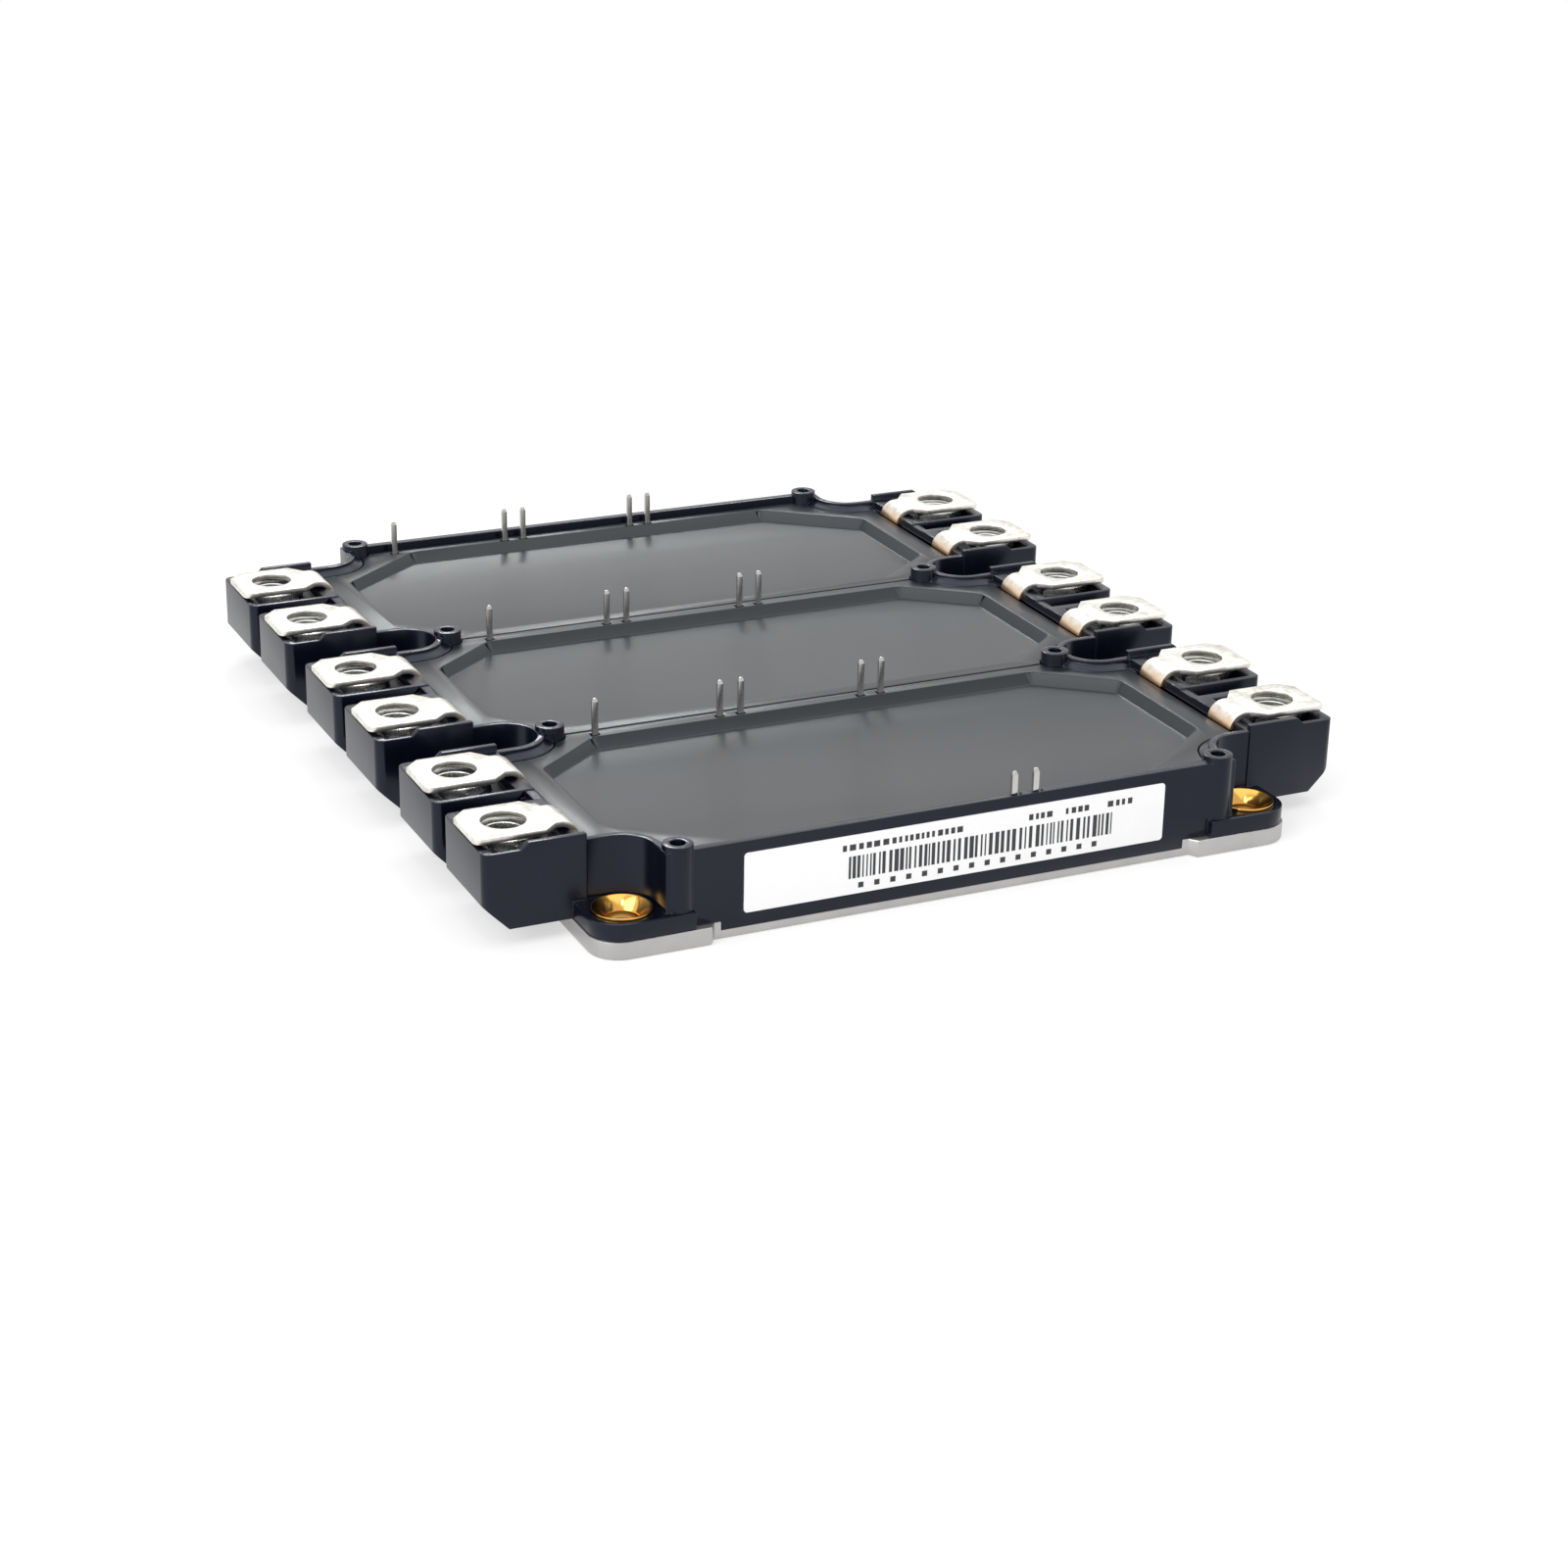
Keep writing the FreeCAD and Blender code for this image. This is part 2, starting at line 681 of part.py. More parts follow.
def leaning_edges(tray):
    """The edges between the tray's sides."""
    found = []
    for edge in tray.Edges:
        rise = abs(edge.Vertexes[0].Point.z - edge.Vertexes[-1].Point.z)
        if rise > tray_depth / 2:
            found.append(edge)
    return found


def pin_slots(phase):
    half_x = pin_width / 2 + pin_slot_play
    half_y = pin_thickness / 2 + pin_slot_play
    row = pin_row(phase)
    return [box((x - half_x, x + half_x), (row - half_y, row + half_y), (0, boss_top))
            for x in pin_places]


def pin(x, row, top, foot_length, toward):
    """One flat pin with a tapered tip, its inner end bent over as a foot."""
    half_x = pin_width / 2
    half_y = pin_thickness / 2
    tip = Part.makeLoft([rectangle(x, row, half_x, half_y, top - pin_tip),
                         rectangle(x, row, half_x / 2, half_y / 2, top)], True, True)
    blade = box((x - half_x, x + half_x), (row - half_y, row + half_y), (pin_foot_bottom, top - pin_tip))
    foot_start = row - toward * half_y
    foot = box((x - pin_foot_width / 2, x + pin_foot_width / 2),
               (foot_start, row + toward * (half_y + foot_length)), (pin_foot_bottom, pin_foot_top))
    return fused([blade, tip, foot])


def rectangle(x, y, half_x, half_y, z):
    corners = [vec(x - half_x, y - half_y, z), vec(x + half_x, y - half_y, z),
               vec(x + half_x, y + half_y, z), vec(x - half_x, y + half_y, z)]
    return Part.makePolygon(corners + corners[:1])


def signal_pins(phase):
    row = pin_row(phase)
    return [pin(x, row, pin_top, pin_foot_length, -1) for x in pin_places]


def sensor_pins():
    row = sensor_pin_row()
    return [pin(x, row, sensor_pin_top, sensor_foot_length(), 1) for x in sensor_pin_places]


def collar():
    """A brass collar on the Z axis: a tube that opens out to a flange, funnel-shaped inside."""
    top = flange_top + collar_flange_thickness
    outline = [
        (mounting_hole_radius, plate_thickness), (collar_tube_radius, plate_thickness),
        (collar_tube_radius, flange_top - collar_flare), (collar_flange_radius, flange_top),
        (collar_flange_radius, top), (collar_mouth_radius, top),
        (mounting_hole_radius, top - collar_mouth_depth),
    ]
    corners = [vec(radius, 0, z) for radius, z in outline]
    face = Part.Face(Part.makePolygon(corners + corners[:1]))
    return face.revolve(vec(0, 0, 0), vec(0, 0, 1), 360)


def collars():
    ring = collar()
    shapes = []
    for x, y in notch_places():
        copy = ring.copy()
        copy.translate(vec(x, y, 0))
        shapes.append(copy)
    return shapes


def back_copper(phase):
    return circuit_layer(phase, copper_margin, (plate_thickness, ceramic_bottom))


def ceramic(phase):
    return circuit_layer(phase, 0, (ceramic_bottom, track_bottom))


def circuit_layer(phase, margin, z_range):
    middle = phases[phase]
    half = ceramic_half_width - margin
    return box((-half, half), (middle - ceramic_near + margin, middle + ceramic_far - margin), z_range)


def tracks(phase):
    """Two tracks that carry chips, two that collect their current, and one for signals."""
    middle = phases[phase]
    near = middle - ceramic_near + copper_margin
    split = middle + track_split
    signal = middle + signal_track_near
    heights = (track_bottom, track_top)
    shapes = []
    for side in (-1, 1):
        span = (side * track_gap / 2, side * track_half_width)
        shapes.append(box(span, (split + track_gap / 2, signal - track_gap), heights))
        shapes.append(box(span, (near, split - track_gap / 2), heights))
    shapes.append(box((pin_places[0], pin_places[-1]), (signal, signal + signal_track_width), heights))
    return shapes


def chip_columns():
    columns = [chip_first + step * chip_pitch for step in range(chips_per_side)]
    return [side * column for column in columns for side in (-1, 1)]


def chips(phase, size, row):
    middle = phases[phase] + row
    return [box((x - size / 2, x + size / 2), (middle - size / 2, middle + size / 2),
                (track_top, chip_top)) for x in chip_columns()]


def transistor_chips(phase):
    return chips(phase, transistor_size, transistor_row)


def diode_chips(phase):
    return chips(phase, diode_size, diode_row)


def wire(start, end):
    """A wire that rises from one bond, runs over and comes down to the next, square in section."""
    start = vec(*start)
    end = vec(*end)
    run = vec(end.x - start.x, end.y - start.y, 0)
    leg = run * wire_shoulder
    run.normalize()
    foot = run * wire_width
    up = vec(0, 0, wire_rise)
    under = vec(0, 0, wire_rise - wire_width) + foot * wire_shoulder
    lower_end = vec(under.x * -1, under.y * -1, under.z)
    corners = [start, start + leg + up, end - leg + up, end, end - foot, end - leg + lower_end,
               start + leg + under, start + foot]
    side = Part.Face(Part.makePolygon(corners + corners[:1]))
    across = vec(-run.y, run.x, 0) * wire_width
    side.translate(across * -0.5)
    return side.extrude(across)


def spread(middle, count):
    """Places side by side at the wires' spacing, about a middle."""
    return [middle + (index - (count - 1) / 2) * wire_spacing for index in range(count)]


def bond_wires(phase):
    """Wires from the chips to the next track, and from the terminals to the tracks."""
    middle = phases[phase]
    transistors = middle + transistor_row
    diodes = middle + diode_row
    track_edge = middle + track_split - track_gap / 2
    shapes = []
    for column in chip_columns():
        for x in spread(column, wires_per_chip):
            shapes.append(wire((x, transistors - wire_inset, chip_top), (x, diodes + wire_inset, chip_top)))
            shapes.append(wire((x, diodes - wire_inset, chip_top), (x, track_edge - wire_to_track, track_top)))
    foot_middle = (neck_far - neck_near) / 2
    for side in (-1, 1):
        for row in (middle - terminal_offset, middle + terminal_offset):
            for y in spread(row + foot_middle, wires_per_foot):
                shapes.append(wire((side * (foot_end + wire_to_foot), y, foot_top),
                                   (side * (track_half_width - wire_to_side), y, track_top)))
    return shapes


def sensor(phase):
    """The thermistor, glued to the collecting track nearest the front wall."""
    near = phases[phase] - ceramic_near + copper_margin + sensor_inset
    place = sum(sensor_pin_places) / len(sensor_pin_places)
    return box((place - sensor_length / 2, place + sensor_length / 2), (near, near + sensor_width),
               (track_top, track_top + sensor_height))


def gel(phase, contents):
    """The soft filling round the circuit, up to its own level."""
    level = box((-far_out, far_out), (-far_out, far_out), (0, gel_top))
    return cavity(phase).common(level).cut(contents)


def label():
    size = (label_right - label_left, label_top - label_bottom)
    sheet = Part.makeBox(size[0], label_thickness, size[1],
                         vec(label_left, -end_face - label_thickness, label_bottom))
    corners = [edge for edge in sheet.Edges if edge.BoundBox.XLength < 1e-6 and edge.BoundBox.ZLength < 1e-6]
    return sheet.makeFillet(label_corner_radius, corners)


def build():
    """All pieces by name; a piece may be a list of like solids."""
    parts = {"base_plate": base_plate()}
    blank = terminal()
    terminals = []
    for name, side, row in terminal_places():
        parts[name] = placed(blank, side, row)
        terminals.append(parts[name])
    one_nut = nut()
    parts["terminal_nuts"] = [placed(one_nut, side, row) for name, side, row in terminal_places()]
    parts["mounting_collars"] = collars()
    pins = []
    for phase in phases:
        parts[f"signal_pins_{phase}"] = signal_pins(phase)
        pins.extend(parts[f"signal_pins_{phase}"])
    parts["thermistor_pins"] = sensor_pins()
    pins.extend(parts["thermistor_pins"])
    parts.update(moulding_pieces(moulding(terminals, pins)))
    parts["thermistor"] = sensor("u")
    for phase in phases:
        parts[f"lid_{phase}"] = lid(phase)
        inside = {
            "back_copper": [back_copper(phase)],
            "ceramic": [ceramic(phase)],
            "copper_tracks": tracks(phase),
            "transistor_chips": transistor_chips(phase),
            "diode_chips": diode_chips(phase),
            "bond_wires": bond_wires(phase),
        }
        contents = [shape for shapes in inside.values() for shape in shapes]
        for name, shapes in inside.items():
            parts[f"{name}_{phase}"] = shapes
        parts[f"silicone_gel_{phase}"] = gel(phase, contents + terminals + pins + [parts["thermistor"]])
    parts["label"] = label()
    return parts


def write(name, shapes):
    """One STEP file for each piece; like solids share a file."""
    solids = []
    for shape in shapes if isinstance(shapes, list) else [shapes]:
        solids.extend(shape.Solids)
    shape = solids[0] if len(solids) == 1 else Part.makeCompound(solids)
    if not shape.isValid():
        print("not valid:", name)
    shape.exportStep(os.path.join("parts", name + ".step"))
    print(f"{name}: {len(solids)} solid(s), {shape.Volume:.1f} mm3")


os.makedirs("parts", exist_ok=True)
for part_name, part_shape in build().items():
    write(part_name, part_shape)
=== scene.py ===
# %% [markdown]
# # A power transistor module, dressed for its portrait
# The solids of the module come in as a fixed frame: every piece already has its place and its size.
# This lesson adds what the eye wants from them: surfaces that answer to light as moulded plastic,
# tin, nickel and brass do, and the small forms that are too fine for the solids, such as rounded
# edges and threads. Everything is in metres, with the origin under the middle of the base plate.

# %% Load the frame
import math
import random
import bmesh
import bpy
from mathutils import Matrix, Vector


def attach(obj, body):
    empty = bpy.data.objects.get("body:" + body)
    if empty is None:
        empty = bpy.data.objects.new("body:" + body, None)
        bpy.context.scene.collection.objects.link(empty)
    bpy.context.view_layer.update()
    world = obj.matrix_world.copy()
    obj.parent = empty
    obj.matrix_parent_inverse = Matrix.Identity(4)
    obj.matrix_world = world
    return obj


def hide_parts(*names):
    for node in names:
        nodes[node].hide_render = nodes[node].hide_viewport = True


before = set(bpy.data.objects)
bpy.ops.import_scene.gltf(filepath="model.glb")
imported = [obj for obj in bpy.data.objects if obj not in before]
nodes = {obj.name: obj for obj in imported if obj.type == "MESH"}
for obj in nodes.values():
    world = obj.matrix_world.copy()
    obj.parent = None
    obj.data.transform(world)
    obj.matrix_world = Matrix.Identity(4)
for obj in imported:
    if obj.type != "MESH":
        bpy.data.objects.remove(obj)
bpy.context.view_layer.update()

MM = 0.001


def in_mm(values, digits=1):
    return [round(value / MM, digits) for value in values]


# %% [markdown]
# ## The camera
# A long lens flattens the view, so the plate's far edge is nearly as wide as its near one. The
# camera's place was worked out from the twelve terminal holes, whose true spacing is known. It is
# written here as a viewing direction and a distance, which a photographer would call by the same
# names.

# %% Place the camera
VIEW_AZIMUTH = math.radians(25.44)      # turned to the right of +Y
VIEW_DROP = math.radians(22.19)         # looking down
VIEW_ROLL = math.radians(1.14)
VIEW_DISTANCE = 504.4 * MM
VIEW_TARGET = Vector((-16.1, -48.9, 10.0)) * MM
FOCAL_IN_FRAMES = 3194.6 / 1600         # focal length as a multiple of the picture's width
SENSOR = 36.0

ahead = Vector((math.sin(VIEW_AZIMUTH) * math.cos(VIEW_DROP),
                math.cos(VIEW_AZIMUTH) * math.cos(VIEW_DROP), -math.sin(VIEW_DROP)))
level = Vector((math.cos(VIEW_AZIMUTH), -math.sin(VIEW_AZIMUTH), 0))
upright = level.cross(ahead)
right = level * math.cos(VIEW_ROLL) + upright * math.sin(VIEW_ROLL)
up = upright * math.cos(VIEW_ROLL) - level * math.sin(VIEW_ROLL)
camera_data = bpy.data.cameras.new("portrait_camera")
camera_data.sensor_width = SENSOR
camera_data.lens = SENSOR * FOCAL_IN_FRAMES
camera = bpy.data.objects.new("portrait_camera", camera_data)
bpy.context.scene.collection.objects.link(camera)
turn = Matrix((right, up, -ahead)).transposed().to_4x4()
camera.matrix_world = Matrix.Translation(VIEW_TARGET - ahead * VIEW_DISTANCE) @ turn
bpy.context.scene.camera = camera
print("lens:", round(camera_data.lens, 1), "mm")

# %% [markdown]
# ## Light and ground
# The module lies on a pale table in a white studio. Black plastic seen at a low angle takes its
# tone from what it mirrors, so the white surroundings matter as much as the lamps do. One wide lamp
# stands to the left and one hangs above, both soft. A third stands behind the module, higher than
# the way that the lids mirror. Their rough surface spreads its light into a sheen that fades
# towards the right, and the polished frame hardly shows it. A small fourth in front puts a streak
# into each brass funnel. No lamp stands low, because seen from the far side a flat lid would mirror
# it and turn white.

# %% Floor, surroundings and lamps
FLOOR_SIDE = 2.4
LAMPS = {                   # where each lamp stands, its width and height, and its power in watts
    "left_softbox": ((-0.75, -0.35, 0.65), (0.7, 0.7), 7.0),
    "top_softbox": ((0.15, 0.1, 0.9), (1.4, 1.4), 6.5),
    "back_softbox": ((0.22, 0.85, 0.7), (0.22, 0.16), 2.6),
    "front_spark": ((-0.24, -0.46, 0.68), (0.08, 0.08), 0.5),
}


def add_floor():
    bpy.ops.object.select_all(action="DESELECT")
    bpy.ops.mesh.primitive_plane_add(size=FLOOR_SIDE, location=(0, 0, 0))
    floor = bpy.context.object
    floor.name = "floor"
    return floor


def add_lamp(name, place, size, power):
    """A flat lamp that looks at the origin."""
    data = bpy.data.lights.new(name, "AREA")
    data.shape = "RECTANGLE"
    data.size, data.size_y = size
    data.energy = power
    lamp = bpy.data.objects.new(name, data)
    bpy.context.scene.collection.objects.link(lamp)
    lamp.location = place
    lamp.rotation_euler = (-Vector(place)).to_track_quat("-Z", "Y").to_euler()


floor = add_floor()
for lamp_name, (place, size, power) in LAMPS.items():
    add_lamp(lamp_name, place, size, power)
bpy.context.scene.view_settings.view_transform = "Standard"
print("lamps:", list(LAMPS))

# %% [markdown]
# ## A small language for shaders
# A material is a graph of nodes, and long graphs are hard to read as code. One class wraps a
# socket, so that sums and products can be written as ordinary expressions, and one method adds any
# other node.

# %% Sums and products of sockets


class Socket:
    """A number inside a material, which can be added, subtracted and multiplied."""

    def __init__(self, paint, link):
        self.paint = paint
        self.link = link

    def _math(self, operation, first, second):
        node = self.paint.add("ShaderNodeMath", {"operation": operation}, [first, second])
        return Socket(self.paint, node.outputs[0])

    def __add__(self, other):
        return self._math("ADD", self, other)

    def __radd__(self, other):
        return self._math("ADD", other, self)

    def __sub__(self, other):
        return self._math("SUBTRACT", self, other)

    def __rsub__(self, other):
        return self._math("SUBTRACT", other, self)

    def __mul__(self, other):
        return self._math("MULTIPLY", self, other)

    def __rmul__(self, other):
        return self._math("MULTIPLY", other, self)


print("a socket can be added, subtracted and multiplied")

# %% A material and its nodes


class Paint:
    """One material being mixed."""

    def __init__(self, name):
        self.material = bpy.data.materials.new(name)
        self.material.use_nodes = True
        self.tree = self.material.node_tree
        self.shader = self.tree.nodes["Principled BSDF"]
        coordinates = self.tree.nodes.new("ShaderNodeTexCoord")
        self.place = Socket(self, coordinates.outputs["Object"])

    def add(self, kind, settings=None, inputs=None):
        """A node of a kind: its settings first, then values or links for its sockets."""
        node = self.tree.nodes.new(kind)
        for name, value in (settings or {}).items():
            setattr(node, name, value)
        pairs = inputs.items() if isinstance(inputs, dict) else enumerate(inputs or [])
        for key, value in pairs:
            self.feed(node.inputs[key], value)
        return node

    def feed(self, socket, value):
        if isinstance(value, Socket):
            self.tree.links.new(value.link, socket)
        elif value is not None:
            socket.default_value = value

    def noise(self, size, detail=2.0, roughness=0.5, stretch=(1, 1, 1)):
        """Soft random patches of a given size in metres, drawn out where the stretch is under 1."""
        scaled = self.add("ShaderNodeVectorMath", {"operation": "MULTIPLY"},
                          [self.place, tuple(axis / size for axis in stretch)])
        node = self.add("ShaderNodeTexNoise", {},
                        {"Vector": Socket(self, scaled.outputs[0]), "Scale": 1.0, "Detail": detail,
                         "Roughness": roughness})
        return Socket(self, node.outputs["Fac"])

    def ramp(self, value, low, high):
        """0 below low, 1 above high, and even between."""
        node = self.add("ShaderNodeMapRange", {"clamp": True},
                        {"Value": value, "From Min": low, "From Max": high})
        return Socket(self, node.outputs["Result"])

    def blend(self, factor, first, second):
        """A colour between two colours."""
        node = self.add("ShaderNodeMix", {"data_type": "RGBA"}, {0: factor, 6: first, 7: second})
        return Socket(self, node.outputs[2])

    def axis(self, name):
        """The distance along X, Y or Z."""
        node = self.add("ShaderNodeSeparateXYZ", {}, [self.place])
        return Socket(self, node.outputs[name])

    def relief(self, height, depth):
        """Bumps of a given depth in metres on the surface."""
        node = self.add("ShaderNodeBump", {},
                        {"Strength": 1.0, "Distance": depth, "Height": height})
        self.tree.links.new(node.outputs["Normal"], self.shader.inputs["Normal"])

    def set(self, **values):
        """Sockets of the surface by name, with underscores for spaces."""
        for name, value in values.items():
            self.feed(self.shader.inputs[name.replace("_", " ")], value)


def colour(red, green, blue):
    return (red, green, blue, 1.0)


print("paint ready")

# %% [markdown]
# ## Moulded black plastic
# The frame and lids are glass-filled polyester. The lids' mould was spark-eroded, which leaves a
# fine even grain, while the frame's was polished, so the frame looks blacker and its walls show
# streaks of light. The colour itself is near black with a trace of blue: what looks grey from a low
# angle is the white room mirrored in the surface, as any plastic mirrors more the flatter one looks
# along it.

# %% Plastic for the frame and the lids
CLOUD, CLOUD_RANGE = 9 * MM, (0.35, 0.7)
CLOUD_LIGHTENS, CLOUD_ROUGHENS = 1.35, 0.08
GRAIN, GRAIN_DEPTH, GRAIN_ROUGHENS = 0.35 * MM, 0.009 * MM, 0.05


def moulded_plastic(name, tint, roughness, mirror, mirrored_tint):
    paint = Paint(name)
    cloud = paint.noise(CLOUD, detail=3.0)
    grain = paint.noise(GRAIN, detail=2.0, roughness=0.6)
    dark = colour(*tint)
    pale = colour(*[value * CLOUD_LIGHTENS for value in tint])
    paint.set(Base_Color=paint.blend(paint.ramp(cloud, *CLOUD_RANGE), dark, pale),
              Roughness=roughness + CLOUD_ROUGHENS * cloud + GRAIN_ROUGHENS * grain,
              Specular_IOR_Level=mirror, Specular_Tint=colour(*mirrored_tint))
    paint.relief(grain, GRAIN_DEPTH)
    return paint.material


frame_plastic = moulded_plastic("frame_plastic", (0.001, 0.0015, 0.005), 0.17,
                                mirror=0.4, mirrored_tint=(0.75, 0.8, 1.0))
lid_plastic = moulded_plastic("lid_plastic", (0.006, 0.0085, 0.0115), 0.3,
                              mirror=0.46, mirrored_tint=(0.93, 0.98, 1.0))
print("plastics:", frame_plastic.name, lid_plastic.name)

# %% [markdown]
# ## Plated metals
# Tin and nickel plating follow the metal under them, so their pattern is that of the rolling or
# grinding: fine lines one way, with slightly duller patches where they were handled. A stretched
# noise gives the lines, and a coarse one the patches.

# %% Nickel, zinc, brass, copper and the pins' tin
PATCH, PATCH_RANGE, PATCH_DARKENS = 6 * MM, (0.3, 0.75), 0.86
LINE_ROUGHENS = 0.08


def plated_metal(name, base, roughness, line_size, line_depth, stretch, patch_roughens=0.06):
    """A metal with duller patches, and with lines whose size and depth are in millimetres."""
    paint = Paint(name)
    lines = paint.noise(line_size * MM, detail=3.0, roughness=0.6, stretch=stretch)
    patches = paint.noise(PATCH, detail=3.0)
    dull = colour(*[value * PATCH_DARKENS for value in base])
    paint.set(Base_Color=paint.blend(paint.ramp(patches, *PATCH_RANGE), colour(*base), dull),
              Metallic=1.0, Roughness=roughness + patch_roughens * patches + LINE_ROUGHENS * lines)
    paint.relief(lines, line_depth * MM)
    return paint.material


nickel = plated_metal("nickel_plating", (0.5, 0.49, 0.48), 0.34, 0.3, 0.004, (0.08, 1, 1))
zinc = plated_metal("zinc_plating", (0.72, 0.73, 0.7), 0.2, 0.4, 0.003, (1, 1, 1))
brass = plated_metal("collar_brass", (0.72, 0.39, 0.09), 0.08, 0.15, 0.002, (1, 1, 0.2), 0.03)
copper = plated_metal("bare_copper", (0.85, 0.46, 0.32), 0.3, 0.3, 0.003, (0.2, 1, 1))
pin_tin = plated_metal("pin_plating", (0.55, 0.54, 0.52), 0.08, 0.3, 0.001, (1, 1, 0.1), 0.04)
print("metals:", [metal.name for metal in (nickel, zinc, brass, copper, pin_tin)])

# %% [markdown]
# On the power terminals the tin thins out low on the neck, and the copper shows through. The height
# above the plate picks the colour there, and the patches make its edges wander.

# %% The terminals' tin
BRIGHT_TIN, DULL_TIN = colour(0.82, 0.8, 0.74), colour(0.58, 0.55, 0.49)
THIN_TIN, BARE_COPPER = colour(0.85, 0.62, 0.4), colour(0.5, 0.24, 0.12)
BARE_BELOW, THIN_FROM, TINNED_FROM = 14.1 * MM, 14.9 * MM, 16.3 * MM
EDGE_WANDERS = 0.7 * MM
TIN_LINES, TIN_PATCHES, TIN_RANGE = 0.25 * MM, 1.6 * MM, (0.45, 0.68)
FINE_RELIEF = 0.002 * MM


def tinned_strip():
    paint = Paint("tin_plating")
    lines = paint.noise(TIN_LINES, detail=3.0, roughness=0.6, stretch=(0.12, 1, 1))
    patches = paint.noise(TIN_PATCHES, detail=4.0, roughness=0.6)
    height = paint.axis("Z") + (0.5 - patches) * EDGE_WANDERS
    tinned = paint.blend(paint.ramp(patches, *TIN_RANGE), BRIGHT_TIN, DULL_TIN)
    thinned = paint.blend(paint.ramp(height, THIN_FROM, TINNED_FROM), THIN_TIN, tinned)
    bared = paint.blend(paint.ramp(height, BARE_BELOW, THIN_FROM), BARE_COPPER, thinned)
    paint.set(Base_Color=bared, Metallic=1.0, Roughness=0.26 + 0.1 * patches + 0.06 * lines)
    paint.relief(lines + 2.0 * patches, FINE_RELIEF)
    return paint.material


tin = tinned_strip()
print("terminals' metal:", tin.name)

# %% [markdown]
# ## Everything else
# The label is a matt white film, and the nuts' threads are dark with painted shade, for the shade
# deep in each bore. Inside, where nobody looks unless the lids come off, there are white ceramic
# plates, grey chips and a clear soft filling, and they get a finish each as well.

# %% Film, ink, painted shade for the threads, ceramic, chips and filling


def plain_finish(name, base, roughness, patch_size, variation):
    """A surface with faint patches, whose size is in millimetres."""
    paint = Paint(name)
    patches = paint.noise(patch_size * MM, detail=3.0)
    other = colour(*[value * (1 - variation) for value in base])
    paint.set(Base_Color=paint.blend(patches, colour(*base), other),
              Roughness=roughness + 0.1 * patches)
    paint.relief(patches, FINE_RELIEF)
    return paint.material


label_film = plain_finish("label_film", (0.88, 0.88, 0.88), 0.45, 4, 0.03)
label_ink = plain_finish("label_ink", (0.03, 0.03, 0.035), 0.5, 1, 0.2)
# The threads' dark colour is painted shade, standing in for the shade deep in each bore.
thread_shade = plain_finish("painted_shade_thread", (0.035, 0.036, 0.026), 0.25, 0.5, 0.3)
ceramic = plain_finish("white_ceramic", (0.85, 0.85, 0.82), 0.5, 2, 0.05)
silicon = plain_finish("chip_silicon", (0.2, 0.21, 0.25), 0.15, 3, 0.15)
sensor_body = plain_finish("sensor_body", (0.05, 0.05, 0.05), 0.3, 1, 0.2)
gel = plain_finish("silicone_gel", (0.7, 0.72, 0.7), 0.2, 8, 0.05)
print("finishes:", len(bpy.data.materials))

# %% [markdown]
# ## Tools for modelling by hand
# An operator works on whatever is selected, so each step first says what it means: one object, or
# the vertices, edges or faces whose place passes a test. A piece that is not on the module's own
# spot is modelled where it is handy and moved at the end, with its place kept in its mesh.

# %% Select and move
HAIR = 0.01     # too small to see, in millimetres, as all numbers of the modelling are


def only(piece):
    bpy.ops.object.select_all(action="DESELECT")
    piece.select_set(True)
    bpy.context.view_layer.objects.active = piece


def begin(piece):
    only(piece)
    bpy.ops.object.mode_set(mode="EDIT")


def done():
    bpy.ops.object.mode_set(mode="OBJECT")
    return bpy.context.object


def place_of(item):
    if isinstance(item, bmesh.types.BMVert):
        return item.co
    if isinstance(item, bmesh.types.BMEdge):
        return (item.verts[0].co + item.verts[1].co) / 2
    return item.calc_center_median()


def choose(kind, test):
    """In edit mode, select what lies where the test says, in millimetres."""
    bpy.ops.mesh.select_mode(type=kind)
    bpy.ops.mesh.select_all(action="DESELECT")
    data = bpy.context.object.data
    mesh = bmesh.from_edit_mesh(data)
    for item in {"VERT": mesh.verts, "EDGE": mesh.edges, "FACE": mesh.faces}[kind]:
        if test(place_of(item) / MM):
            item.select_set(True)
    mesh.select_flush_mode()
    bmesh.update_edit_mesh(data)


def extrude(x, y, z):
    bpy.ops.mesh.extrude_region_move(TRANSFORM_OT_translate={"value": Vector((x, y, z)) * MM})


def resize(x, y, z, centre):
    bpy.ops.transform.resize(value=(x, y, z), center_override=Vector(centre) * MM)


def show_box(title, piece):
    """Print a piece's lowest and highest corner in millimetres."""
    print(title, in_mm(piece.bound_box[0], 2), in_mm(piece.bound_box[6], 2))


print("selection tools ready")

# %% Sheets, rods and turned forms
SEGMENTS = 64
MERGE_WITHIN = 0.001
RING_HEIGHT, RING_REACH = 0.001, 0.05   # how near to a ring, in height and radius, an edge is on it


def set_down(piece):
    """Keep the place, turn and size in the mesh."""
    only(piece)
    bpy.ops.object.transform_apply(location=True, rotation=True, scale=True)
    return piece


def plane(x_range, y_range, z):
    bpy.ops.object.select_all(action="DESELECT")
    middle = Vector((sum(x_range) / 2, sum(y_range) / 2, z)) * MM
    bpy.ops.mesh.primitive_plane_add(size=1, location=middle)
    piece = bpy.context.object
    piece.scale = ((x_range[1] - x_range[0]) * MM, (y_range[1] - y_range[0]) * MM, 1)
    return set_down(piece)


def rod(radius, z_range, x=0.0, sides=SEGMENTS):
    bpy.ops.object.select_all(action="DESELECT")
    middle = Vector((x, 0, sum(z_range) / 2)) * MM
    bpy.ops.mesh.primitive_cylinder_add(vertices=sides, radius=radius * MM, location=middle,
                                        depth=(z_range[1] - z_range[0]) * MM)
    return set_down(bpy.context.object)


